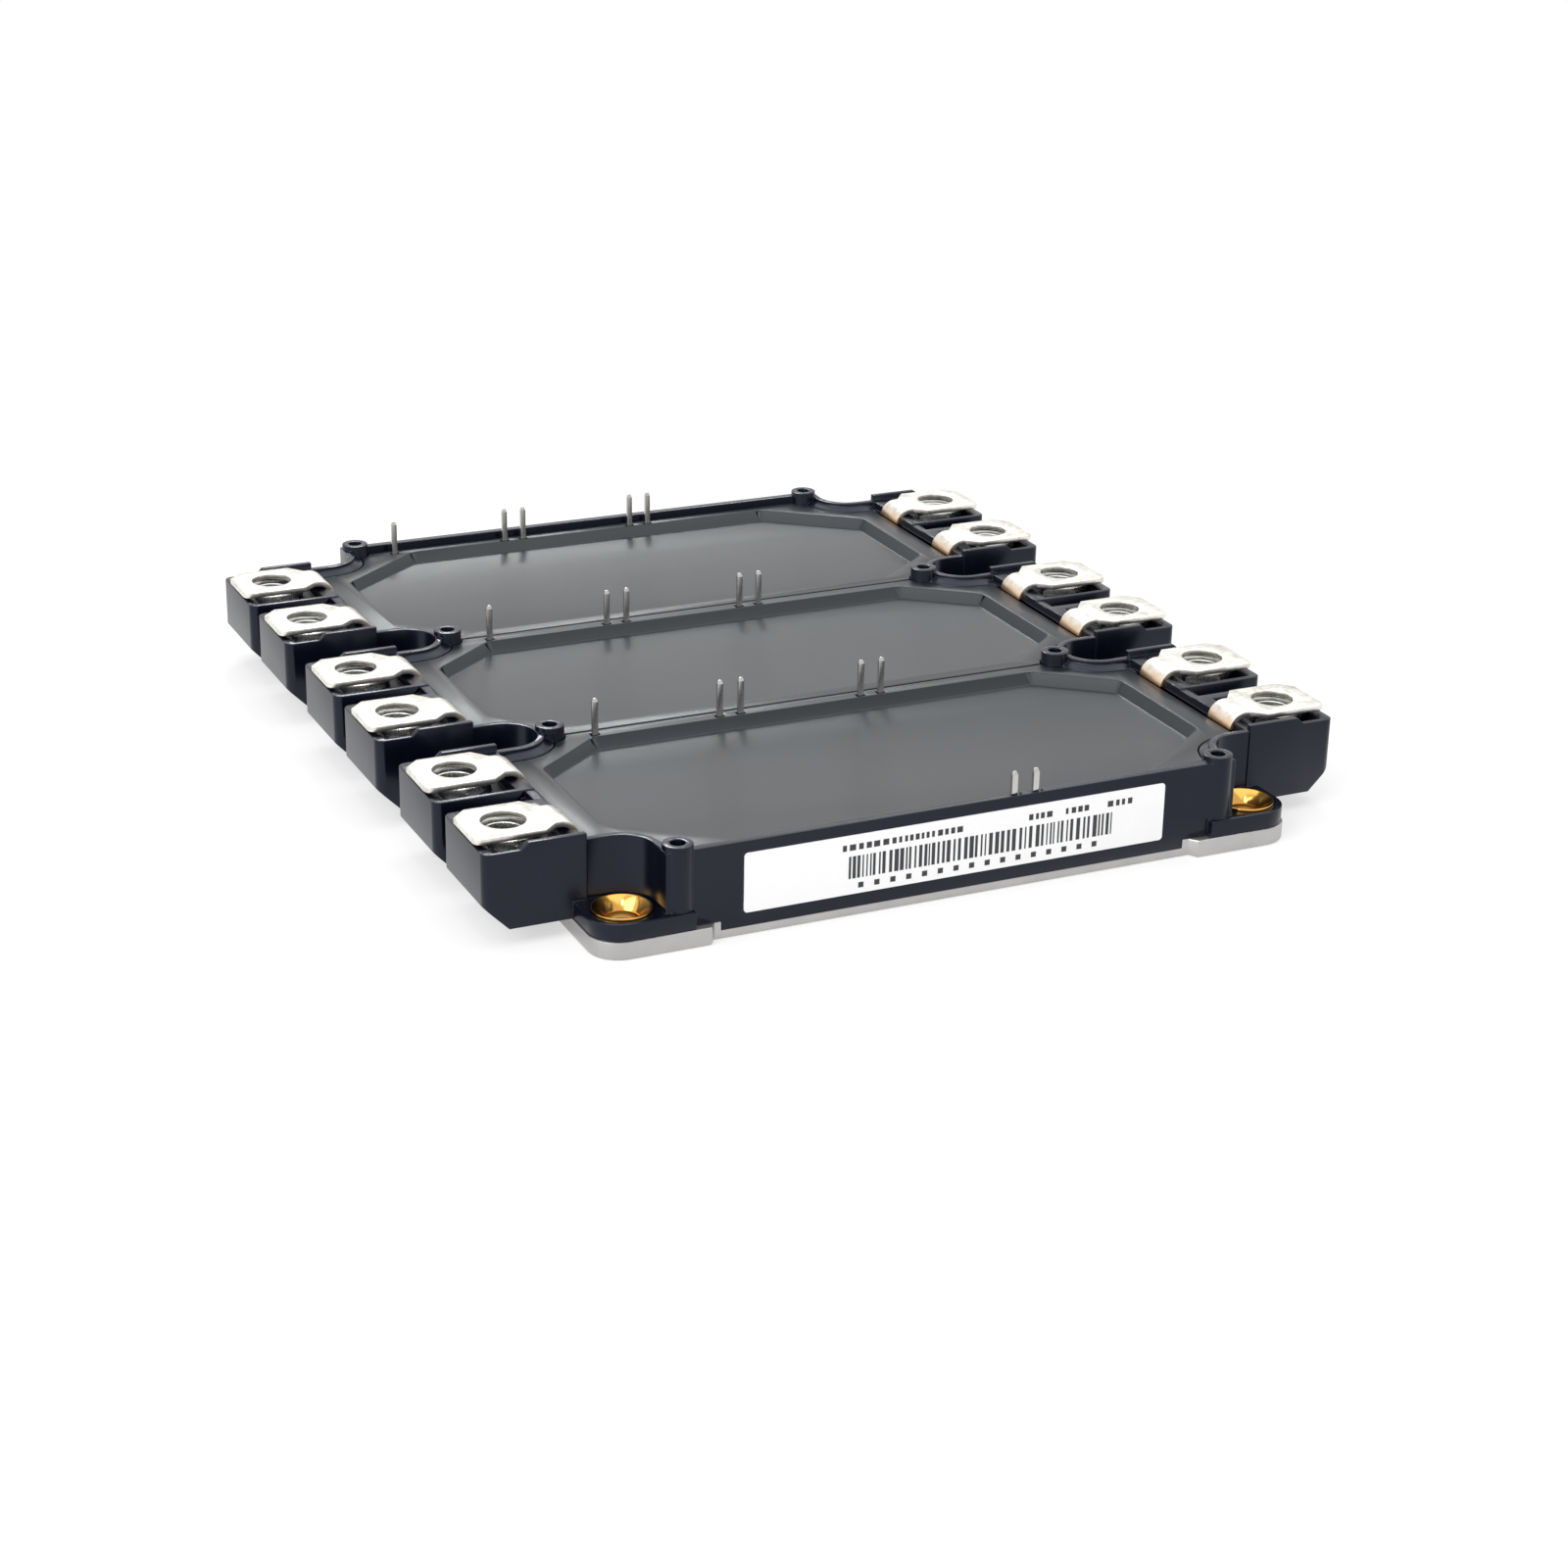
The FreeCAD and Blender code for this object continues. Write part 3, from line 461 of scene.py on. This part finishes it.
def tidy_mesh():
    bpy.ops.mesh.select_all(action="SELECT")
    bpy.ops.mesh.remove_doubles(threshold=MERGE_WITHIN * MM)
    bpy.ops.mesh.normals_make_consistent(inside=False)


def turned(outline, closed):
    """A form turned on the Z axis: a circle, extruded and resized from point to point."""
    radius, height = outline[0]
    bpy.ops.object.select_all(action="DESELECT")
    bpy.ops.mesh.primitive_circle_add(vertices=SEGMENTS, radius=radius * MM,
                                      location=(0, 0, height * MM),
                                      fill_type="NOTHING" if closed else "NGON")
    piece = set_down(bpy.context.object)
    begin(piece)
    choose("EDGE", lambda place: True)
    for next_radius, next_height in outline[1:]:
        extrude(0, 0, next_height - height)
        share = next_radius / radius
        resize(share, share, 1, (0, 0, next_height))
        radius, height = next_radius, next_height
    if closed:
        choose("EDGE", lambda place: any(abs(place.z - end_height) < RING_HEIGHT
                                         and abs(place.xy.length - end_radius) < RING_REACH
                                         for end_radius, end_height in (outline[0], outline[-1])))
        bpy.ops.mesh.bridge_edge_loops()
    else:
        bpy.ops.mesh.edge_face_add()
    tidy_mesh()
    return done()


print("forms ready")

# %% Modify, copy, join and deliver
ROUNDING_STEPS = 2
SMOOTH_ANGLE = 32


def modify(piece, kind, **settings):
    """Add a modifier and apply it at once."""
    only(piece)
    modifier = piece.modifiers.new(kind.lower(), kind)
    for name, value in settings.items():
        setattr(modifier, name, value)
    bpy.ops.object.modifier_apply(modifier=modifier.name)
    return piece


def carve(piece, tool, operation="DIFFERENCE"):
    modify(piece, "BOOLEAN", object=tool, operation=operation, solver="EXACT")
    bpy.data.objects.remove(tool)
    return piece


def round_edges(piece, width, angle=30, clamp=False):
    return modify(piece, "BEVEL", width=width * MM, segments=ROUNDING_STEPS, limit_method="ANGLE",
                  angle_limit=math.radians(angle), use_clamp_overlap=clamp)


def copy_to(piece, move, mirror=False):
    """A copy with its own mesh, mirrored left for right if asked, and moved."""
    copy = bpy.data.objects.new(piece.name, piece.data.copy())
    bpy.context.scene.collection.objects.link(copy)
    copy.scale.x = -1 if mirror else 1
    copy.location = Vector(move) * MM
    set_down(copy)
    if mirror:
        begin(copy)
        bpy.ops.mesh.select_all(action="SELECT")
        bpy.ops.mesh.normals_make_consistent(inside=False)
        done()
    return copy


def joined(pieces):
    only(pieces[0])
    for piece in pieces[1:]:
        piece.select_set(True)
    bpy.ops.object.join()
    return bpy.context.object


def deliver(piece, name, material, slot, *replaced):
    """Name a finished piece, give it its surface and put it on the module."""
    only(piece)
    bpy.ops.object.shade_smooth_by_angle(angle=math.radians(SMOOTH_ANGLE))
    piece.name = name
    piece.data.materials.clear()
    piece.data.materials.append(material)
    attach(piece, "root")
    if replaced:
        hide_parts(*replaced)


print("modelling tools ready")

# %% [markdown]
# ## The power terminals
# Each terminal is a strip of tinned copper, cut to its outline and bent twice: once to come down
# from the tab, and once to lie flat inside as a foot. In Blender a bent strip is best made as a
# sheet with no thickness. Its edge is extruded along the straights and spun round the bends, and
# the thickness comes last, so that both faces of each bend stay parallel. The sheet begins at the
# tab, where the corners are cut with a bevel on single vertices.

# %% Model one terminal
PHASES = {"u": -50.0, "v": 0.0, "w": 50.0}      # the middle of each phase along Y
TERMINAL_X, TERMINAL_Y = 68.5, 11.0     # the terminals' holes, from the middle of their phase
STRIP = 1.0                             # thickness
TAB_TOP, TAB_END, TAB_NEAR, TAB_FAR = 17.0, 75.2, -6.1, 5.9
TAB_HOLE, FAR_CUT, NEAR_ROUNDING, NEAR_STEPS = 3.5, 2.4, 1.4, 4
NECK_FACE, NECK_NEAR, NECK_FAR = 57.8, -4.0, 3.0
NECK_START, NECK_WIDENS = 61.5, 2.3
TOP_BEND, FOOT_BEND, BEND_STEPS = 3.0, 1.25, 12
FOOT_TOP, FOOT_END = 7.0, 48.0


def model_terminal():
    tab_start = NECK_START + NECK_WIDENS
    strip = plane((tab_start, TAB_END), (TAB_NEAR, TAB_FAR), TAB_TOP)
    begin(strip)
    choose("VERT", lambda place: place.x > TAB_END - HAIR and place.y > 0)
    bpy.ops.mesh.bevel(offset=FAR_CUT * MM, affect="VERTICES", segments=1)
    choose("VERT", lambda place: place.x > TAB_END - HAIR and place.y < 0)
    bpy.ops.mesh.bevel(offset=NEAR_ROUNDING * MM, affect="VERTICES", segments=NEAR_STEPS)
    choose("EDGE", lambda place: place.x < tab_start + HAIR)
    extrude(-NECK_WIDENS, 0, 0)
    neck_share = (NECK_FAR - NECK_NEAR) / (TAB_FAR - TAB_NEAR)
    pivot = (NECK_NEAR - neck_share * TAB_NEAR) / (1 - neck_share)
    resize(1, neck_share, 1, (0, pivot, 0))
    extrude(NECK_FACE + TOP_BEND - NECK_START, 0, 0)
    bpy.ops.mesh.spin(steps=BEND_STEPS, angle=math.pi / 2, axis=(0, 1, 0),
                      center=Vector((NECK_FACE + TOP_BEND, 0, TAB_TOP - TOP_BEND)) * MM)
    extrude(0, 0, FOOT_TOP + FOOT_BEND + TOP_BEND - TAB_TOP)
    bpy.ops.mesh.spin(steps=BEND_STEPS, angle=-math.pi / 2, axis=(0, 1, 0),
                      center=Vector((NECK_FACE - FOOT_BEND, 0, FOOT_TOP + FOOT_BEND)) * MM)
    extrude(FOOT_END + FOOT_BEND - NECK_FACE, 0, 0)
    tidy_mesh()
    done()
    return strip


strip = model_terminal()
show_box("strip:", strip)

# %% Give it thickness, its hole and soft edges
STRIP_ROUNDING = 0.14

modify(strip, "SOLIDIFY", thickness=STRIP * MM, offset=-1.0)
begin(strip)
tidy_mesh()
done()
carve(strip, rod(TAB_HOLE, (TAB_TOP - 2 * STRIP, TAB_TOP + STRIP), TERMINAL_X))
round_edges(strip, STRIP_ROUNDING)
show_box("terminal:", strip)

# %% Set the twelve terminals
TERMINALS = {"plus": (True, TERMINAL_Y), "minus": (True, -TERMINAL_Y),
             "output_a": (False, TERMINAL_Y), "output_b": (False, -TERMINAL_Y)}

for phase, middle in PHASES.items():
    for name, (mirror, row) in TERMINALS.items():
        node_name = f"terminal_{name}_{phase}"
        piece = copy_to(strip, (0, middle + row, 0), mirror)
        deliver(piece, f"{node_name}_strip", tin, "tinned_copper", node_name)
bpy.data.objects.remove(strip)
print("terminals:", len(PHASES) * len(TERMINALS))

# %% [markdown]
# ## The nuts under the tabs
# Through each tab's hole one looks down into a captive nut, so its thread shows. A nut is a hexagon
# whose corners were turned down: the hexagon and a turned form are intersected. The thread is a
# ridge with a flat crest, swept up the bore by a Screw modifier, which is how a tap leaves it. The
# nut is bright, but its thread and a thin lining of the bore are a piece of their own, coloured
# dark as painted shade for the shade deep in the bore.

# %% Model the nut
NUT_BOTTOM, NUT_TOP = 10.3, 15.3
NUT_FLATS = 5.0             # half the distance across the flats
NUT_CORNER = NUT_FLATS / math.cos(math.radians(30))
NUT_CHAMFER = (NUT_CORNER - NUT_FLATS) * math.tan(math.radians(30))
NUT_ROUNDING = 0.08
THREAD_OUTER, THREAD_INNER, THREAD_PITCH = 3.0, 2.5, 1.0
BORE_FLARE, FLARE_HALF = 0.2, 0.1   # wider by, and half the height over which it widens


def model_nut():
    nut = rod(NUT_CORNER, (NUT_BOTTOM, NUT_TOP), sides=6)
    widest, flared = NUT_CORNER + HAIR, THREAD_OUTER + BORE_FLARE
    flare_low, flare_high = NUT_BOTTOM + FLARE_HALF, NUT_TOP - FLARE_HALF
    blank = turned([(NUT_FLATS, NUT_BOTTOM), (widest, NUT_BOTTOM + NUT_CHAMFER),
                    (widest, NUT_TOP - NUT_CHAMFER), (NUT_FLATS, NUT_TOP)], closed=False)
    carve(nut, blank, "INTERSECT")
    bore = turned([(flared, NUT_BOTTOM - FLARE_HALF), (THREAD_OUTER, flare_low),
                   (THREAD_OUTER, flare_high), (flared, NUT_TOP + FLARE_HALF)], closed=False)
    carve(nut, bore)
    return round_edges(nut, NUT_ROUNDING, angle=20, clamp=True)


nut = model_nut()
show_box("nut:", nut)

# %% Model its thread
RIDGE_START, RIDGE_SEAT = 0.5, 0.05     # above the nut's lower face, and into the bore's wall
RIDGE_WIDTH, CREST_SHARE = 0.84, 0.3    # the root's part of the pitch, and the crest's of the root
THREAD_TURNS, TURN_STEPS = 3, 40
LINING_INNER, LINING_OUTER, LINING_SHORT = THREAD_OUTER - 0.03, THREAD_OUTER + 0.02, 0.15


def model_ridge():
    low = NUT_BOTTOM + RIDGE_START
    section = plane((THREAD_INNER, THREAD_OUTER + RIDGE_SEAT),
                    (low, low + RIDGE_WIDTH * THREAD_PITCH), 0)
    begin(section)
    bpy.ops.mesh.select_all(action="SELECT")
    bpy.ops.transform.rotate(value=-math.pi / 2, orient_axis="X", center_override=(0, 0, 0))
    done()
    heights = [vertex.co.z / MM for vertex in section.data.vertices]
    middle = (min(heights) + max(heights)) / 2
    begin(section)
    choose("EDGE", lambda place: place.x < THREAD_INNER + HAIR)
    resize(1, 1, CREST_SHARE, (THREAD_INNER, 0, middle))
    bpy.ops.mesh.select_all(action="SELECT")
    bpy.ops.mesh.delete(type="ONLY_FACE")
    done()
    modify(section, "SCREW", axis="Z", screw_offset=THREAD_PITCH * MM, iterations=THREAD_TURNS,
           steps=TURN_STEPS, render_steps=TURN_STEPS)
    begin(section)
    bpy.ops.mesh.select_all(action="SELECT")
    bpy.ops.mesh.fill_holes(sides=4)
    tidy_mesh()
    return done()


# A thin sheet in the bore, which carries the threads' painted shade.
def model_shade_lining():
    low, high = NUT_BOTTOM + LINING_SHORT, NUT_TOP - LINING_SHORT
    return turned([(LINING_INNER, low), (LINING_OUTER, low), (LINING_OUTER, high),
                   (LINING_INNER, high)], closed=True)


thread = joined([model_ridge(), model_shade_lining()])
show_box("thread:", thread)

# %% Set the twelve nuts


def set_twelve(piece):
    copies = [copy_to(piece, (side * TERMINAL_X, middle + row, 0)) for middle in PHASES.values()
              for side in (-1, 1) for row in (-TERMINAL_Y, TERMINAL_Y)]
    bpy.data.objects.remove(piece)
    print("copies:", len(copies))
    return joined(copies)


deliver(set_twelve(nut), "captive_nuts", zinc, "zinc_steel", "terminal_nuts")
# The threads and their lining take the dark painted shade of the bore.
deliver(set_twelve(thread), "tapped_threads", thread_shade, "zinc_steel")

# %% [markdown]
# ## The collars in the mounting holes
# A brass collar keeps each mounting screw from crushing the plastic. It was turned on a lathe, so
# it is modelled the same way: one ring, extruded from point to point of its section, and bridged
# shut.

# %% Turn the collar and set eight
HOLE_X, HOLE_ROWS = 55.0, (-75.0, -25.0, 25.0, 75.0)
COLLAR_SECTION = [          # the radius and the height of each point, round the section
    (2.75, 3.0), (3.6, 3.0), (3.6, 4.0), (4.75, 5.8), (4.75, 6.2), (4.45, 6.2), (2.75, 4.2)]
COLLAR_ROUNDING = 0.1

collar = turned(COLLAR_SECTION, closed=True)
round_edges(collar, COLLAR_ROUNDING, angle=20)
collars = [copy_to(collar, (side * HOLE_X, row, 0)) for row in HOLE_ROWS for side in (-1, 1)]
deliver(joined(collars), "turned_collars", brass, "collar_brass", "mounting_collars")
bpy.data.objects.remove(collar)
print("collars:", len(collars))

# %% [markdown]
# ## The signal pins
# The pins are stamped from strip, so their long edges are slightly rounded by the die, and their
# tips are squeezed to a blunt taper that finds its hole in the board. Each has a foot inside. One
# pin is made from a block: its top is extruded and drawn in, and the foot is extruded from its
# side.

# %% Model one pin
PIN_WIDTH, PIN_DEPTH, PIN_ROUNDING = 1.05, 0.65, 0.1
PIN_TIP, TIP_SHARE = 0.7, 0.5
PIN_BOTTOM, PIN_FOOT_TOP, PIN_FOOT_WIDTH = 5.2, 6.0, 2.0
FOOT_RING = 0.001           # depth of the first ring, which is then widened to the foot


def model_pin(top, foot_length, toward):
    """A pin on the Z axis, whose foot points along Y, towards 1 or -1."""
    half_x, half_y = PIN_WIDTH / 2, PIN_DEPTH / 2
    pin = plane((-half_x, half_x), (-half_y, half_y), PIN_BOTTOM)
    begin(pin)
    choose("FACE", lambda place: True)
    extrude(0, 0, PIN_FOOT_TOP - PIN_BOTTOM)
    extrude(0, 0, top - PIN_TIP - PIN_FOOT_TOP)
    extrude(0, 0, PIN_TIP)
    resize(TIP_SHARE, TIP_SHARE, 1, (0, 0, top))
    side = toward * half_y
    choose("FACE", lambda place: abs(place.y - side) < HAIR and place.z < PIN_FOOT_TOP)
    extrude(0, FOOT_RING * toward, 0)
    resize(PIN_FOOT_WIDTH / PIN_WIDTH, 1, 1, (0, side, PIN_BOTTOM))
    extrude(0, toward * foot_length, 0)
    tidy_mesh()
    done()
    return round_edges(pin, PIN_ROUNDING)


signal_pin = model_pin(top=20.5, foot_length=3.2, toward=-1)
sensor_pin = model_pin(top=19.3, foot_length=5.5, toward=1)
print("pins:", in_mm(signal_pin.dimensions, 2), in_mm(sensor_pin.dimensions, 2))

# %% Set the pins
PIN_PLACES = (-40.0, -17.7, -13.9, 8.4, 12.2)
PIN_ROWS = {"u": -26.8, "v": 23.2, "w": 76.0}
SENSOR_PINS, SENSOR_ROW = (9.6, 13.4), -78.3

for phase, row in PIN_ROWS.items():
    pins = joined([copy_to(signal_pin, (x, row, 0)) for x in PIN_PLACES])
    deliver(pins, f"stamped_pins_{phase}", pin_tin, "tinned_pins", f"signal_pins_{phase}")
pins = joined([copy_to(sensor_pin, (x, SENSOR_ROW, 0)) for x in SENSOR_PINS])
deliver(pins, "stamped_sensor_pins", pin_tin, "tinned_pins", "thermistor_pins")
bpy.data.objects.remove(signal_pin)
bpy.data.objects.remove(sensor_pin)
print("pin rows:", len(PIN_ROWS) + 1)

# %% [markdown]
# ## Softer edges for the big pieces
# No moulded or machined edge is perfectly sharp, and the thin bright line along it is much of what
# makes plastic and metal look real. The solids of the frame, the lids and the plate are copied,
# their loose triangles are merged into whole faces, and a narrow bevel goes along every sharp edge.
# The housing comes as three solids that meet face to face, and a union turns them into the one
# moulding they are.

# %% Copy a solid and find its thin wedges
SHOULDER_TOP, SHOULDER_RADIUS = 14.2, 8.0
WEDGE_START, WEDGE_END, WEDGE_DEPTH = -0.1, 1.9, 0.25


def solid_copy(node_name):
    source = nodes[node_name]
    piece = bpy.data.objects.new(node_name, source.data.copy())
    bpy.context.scene.collection.objects.link(piece)
    piece.matrix_world = source.matrix_world
    set_down(piece)
    begin(piece)
    tidy_mesh()
    return done()


def at_wedge(place):
    """In the thin end of the gap between a notch's round shoulder and the seat's straight side."""
    half = WEDGE_DEPTH / 2
    return (abs(place.z - SHOULDER_TOP) < HAIR and WEDGE_START < abs(place.x) - HOLE_X < WEDGE_END
            and any(abs(abs(place.y - row) - SHOULDER_RADIUS + half) < half + 2 * HAIR
                    for row in HOLE_ROWS))


print("notches with wedges:", 2 * len(HOLE_ROWS))

# %% Soften the frame, the lids and the plate
FLAT_ANGLE = 0.5            # faces within this angle become one
SLIVER = 0.05               # points within this distance become one
FRAME_ROUNDING, LID_ROUNDING, PLATE_ROUNDING = 0.14, 0.16, 0.2


def softened(name, width, material, slot, *node_names):
    copies = [solid_copy(node_name) for node_name in node_names]
    piece = copies[0]
    for other in copies[1:]:
        carve(piece, other, "UNION")
    begin(piece)
    choose("VERT", at_wedge)
    bpy.ops.mesh.merge(type="COLLAPSE")
    bpy.ops.mesh.select_all(action="SELECT")
    bpy.ops.mesh.dissolve_limited(angle_limit=math.radians(FLAT_ANGLE))
    bpy.ops.mesh.select_all(action="SELECT")
    bpy.ops.mesh.remove_doubles(threshold=SLIVER * MM)
    done()
    round_edges(piece, width)
    deliver(piece, name, material, slot, *node_names)
    print(name, "faces:", len(piece.data.polygons))


softened("moulded_frame", FRAME_ROUNDING, frame_plastic, "frame_plastic",
         "housing_frame", "housing_flanges", "terminal_blocks")
for phase in PHASES:
    softened(f"moulded_lid_{phase}", LID_ROUNDING, lid_plastic, "lid_plastic", f"lid_{phase}")
softened("plated_base", PLATE_ROUNDING, nickel, "nickel_plate", "base_plate")

# %% [markdown]
# ## The label
# A matt film with soft corners lies on the end wall. Its print is kept to plain bars: a bar code
# drawn from seeded random widths, rows of small blocks where lines of print would stand, and a row
# of even marks under the code. Each block is a thin solid of ink, so the print is there without any
# picture.

# %% Blocks of ink, alone and in rows
LABEL_FACE = -79.65
INK_DEPTH = 0.02
dice = random.Random(7)


def ink_block(x_range, z_range):
    """A thin closed block of ink, set on the label's face."""
    block = plane(x_range, (LABEL_FACE - INK_DEPTH, LABEL_FACE), z_range[0])
    begin(block)
    choose("FACE", lambda place: True)
    extrude(0, 0, z_range[1] - z_range[0])
    tidy_mesh()
    return done()


def ink_row(x_range, z_range, widths, rests):
    """A row of blocks of random widths with random rests between them."""
    blocks = []
    x, end = x_range
    while x < end - max(widths):
        width = dice.uniform(*widths)
        blocks.append(ink_block((x, x + width), z_range))
        x += width + dice.uniform(*rests)
    return blocks


print("ink from y =", LABEL_FACE - INK_DEPTH, "to", LABEL_FACE)

# %% Print the label
CODE_X, CODE_Z, CODE_BARS, CODE_RESTS = (-19.5, 28.0), (6.4, 10.1), (0.22, 0.75), (0.2, 0.65)
LINES_X = ((-20.6, 0.9), (11.8, 16.5), (18.4, 24.2), (26.0, 31.8))
LINE_Z, LINE_BLOCKS, LINE_RESTS = (11.1, 12.1), (0.45, 1.1), (0.35, 0.6)
MARKS, MARK_START, MARK_STEP, MARK_WIDTH, MARK_Z = 16, -17.8, 2.75, 0.9, (4.7, 5.6)

blocks = ink_row(CODE_X, CODE_Z, CODE_BARS, CODE_RESTS)
for line_x in LINES_X:
    blocks += ink_row(line_x, LINE_Z, LINE_BLOCKS, LINE_RESTS)
for left in (MARK_START + MARK_STEP * step for step in range(MARKS)):
    blocks.append(ink_block((left, left + MARK_WIDTH), MARK_Z))
deliver(joined(blocks), "label_print", label_ink, "label_film")
print("ink blocks:", len(blocks))

# %% [markdown]
# ## Finishes for the solids
# The solids that still show, or that lie inside, take their finish by how their name begins. The
# hidden ones that a modelled piece stands for get theirs in the same loop.

# %% Give the solids their finishes
FINISHES = {
    "base_plate": nickel, "housing": frame_plastic, "terminal_blocks": frame_plastic,
    "lid": lid_plastic, "terminal_nuts": zinc, "terminal": tin, "mounting_collars": brass,
    "signal_pins": pin_tin, "thermistor_pins": pin_tin, "thermistor": sensor_body,
    "back_copper": copper, "copper_tracks": copper, "ceramic": ceramic, "bond_wires": zinc,
    "transistor_chips": silicon, "diode_chips": silicon, "silicone_gel": gel,
    "label": label_film,
}


def finish_for(node_name):
    """The finish for how the name begins, by the longest beginning that fits."""
    starts = [start for start in FINISHES if node_name.startswith(start)]
    return FINISHES[max(starts, key=len)]


for name, node in nodes.items():
    for material_slot in node.material_slots:
        material_slot.material = finish_for(name)
print("finished solids:", len(nodes))

# %% [markdown]
# ## The floor's white
# The table and the room are plain white wherever the camera looks at them, straight or in a mirror,
# and only a modest light to everything else. Near the module the table keeps a share of its own
# shading, so the shadow stays as a trace, and further out the share fades away.

# %% Floor and world materials
FLOOR_PATCH = 300 * MM
FLOOR_GLOW = 0.6            # share of plain white that is seen on the table near the module
SHADOW_START, SHADOW_END = 0.15, 0.4    # the share grows to the whole between these distances
ROOM_LIGHT, WHITE = 0.55, 1.0   # strength of the room's light, and of what is seen as white


def seen_as_white(tree):
    """1 for the camera's rays and for what they meet in a mirror or behind glass."""
    rays = tree.nodes.new("ShaderNodeLightPath")
    seen = rays.outputs["Is Camera Ray"]
    for kind in ("Is Glossy Ray", "Is Transmission Ray"):
        larger = tree.nodes.new("ShaderNodeMath")
        larger.operation = "MAXIMUM"
        tree.links.new(seen, larger.inputs[0])
        tree.links.new(rays.outputs[kind], larger.inputs[1])
        seen = larger.outputs[0]
    return seen


def floor_material():
    paint = Paint("pale_floor")
    patches = paint.noise(FLOOR_PATCH, detail=2.0)
    paint.set(Base_Color=paint.blend(patches, colour(0.9, 0.9, 0.9), colour(0.88, 0.88, 0.88)),
              Roughness=0.9)
    reach = paint.add("ShaderNodeVectorMath", {"operation": "LENGTH"}, [paint.place])
    away = paint.ramp(Socket(paint, reach.outputs["Value"]), SHADOW_START, SHADOW_END)
    seen = Socket(paint, seen_as_white(paint.tree))
    white = paint.add("ShaderNodeEmission", {}, {"Color": colour(1, 1, 1), "Strength": WHITE})
    mixed = paint.add("ShaderNodeMixShader", {}, {0: seen * (FLOOR_GLOW + (1 - FLOOR_GLOW) * away)})
    paint.tree.links.new(paint.shader.outputs[0], mixed.inputs[1])
    paint.tree.links.new(white.outputs[0], mixed.inputs[2])
    paint.tree.links.new(mixed.outputs[0], paint.tree.nodes["Material Output"].inputs["Surface"])
    return paint.material


def light_world():
    world = bpy.data.worlds.new("white_room")
    bpy.context.scene.world = world
    world.use_nodes = True
    tree = world.node_tree
    background = tree.nodes["Background"]
    strength = tree.nodes.new("ShaderNodeMapRange")
    strength.inputs["To Min"].default_value = ROOM_LIGHT
    strength.inputs["To Max"].default_value = WHITE
    tree.links.new(seen_as_white(tree), strength.inputs["Value"])
    tree.links.new(strength.outputs["Result"], background.inputs["Strength"])
    background.inputs["Color"].default_value = colour(1, 1, 1)


floor.data.materials.append(floor_material())
light_world()
print("world:", bpy.context.scene.world.name)
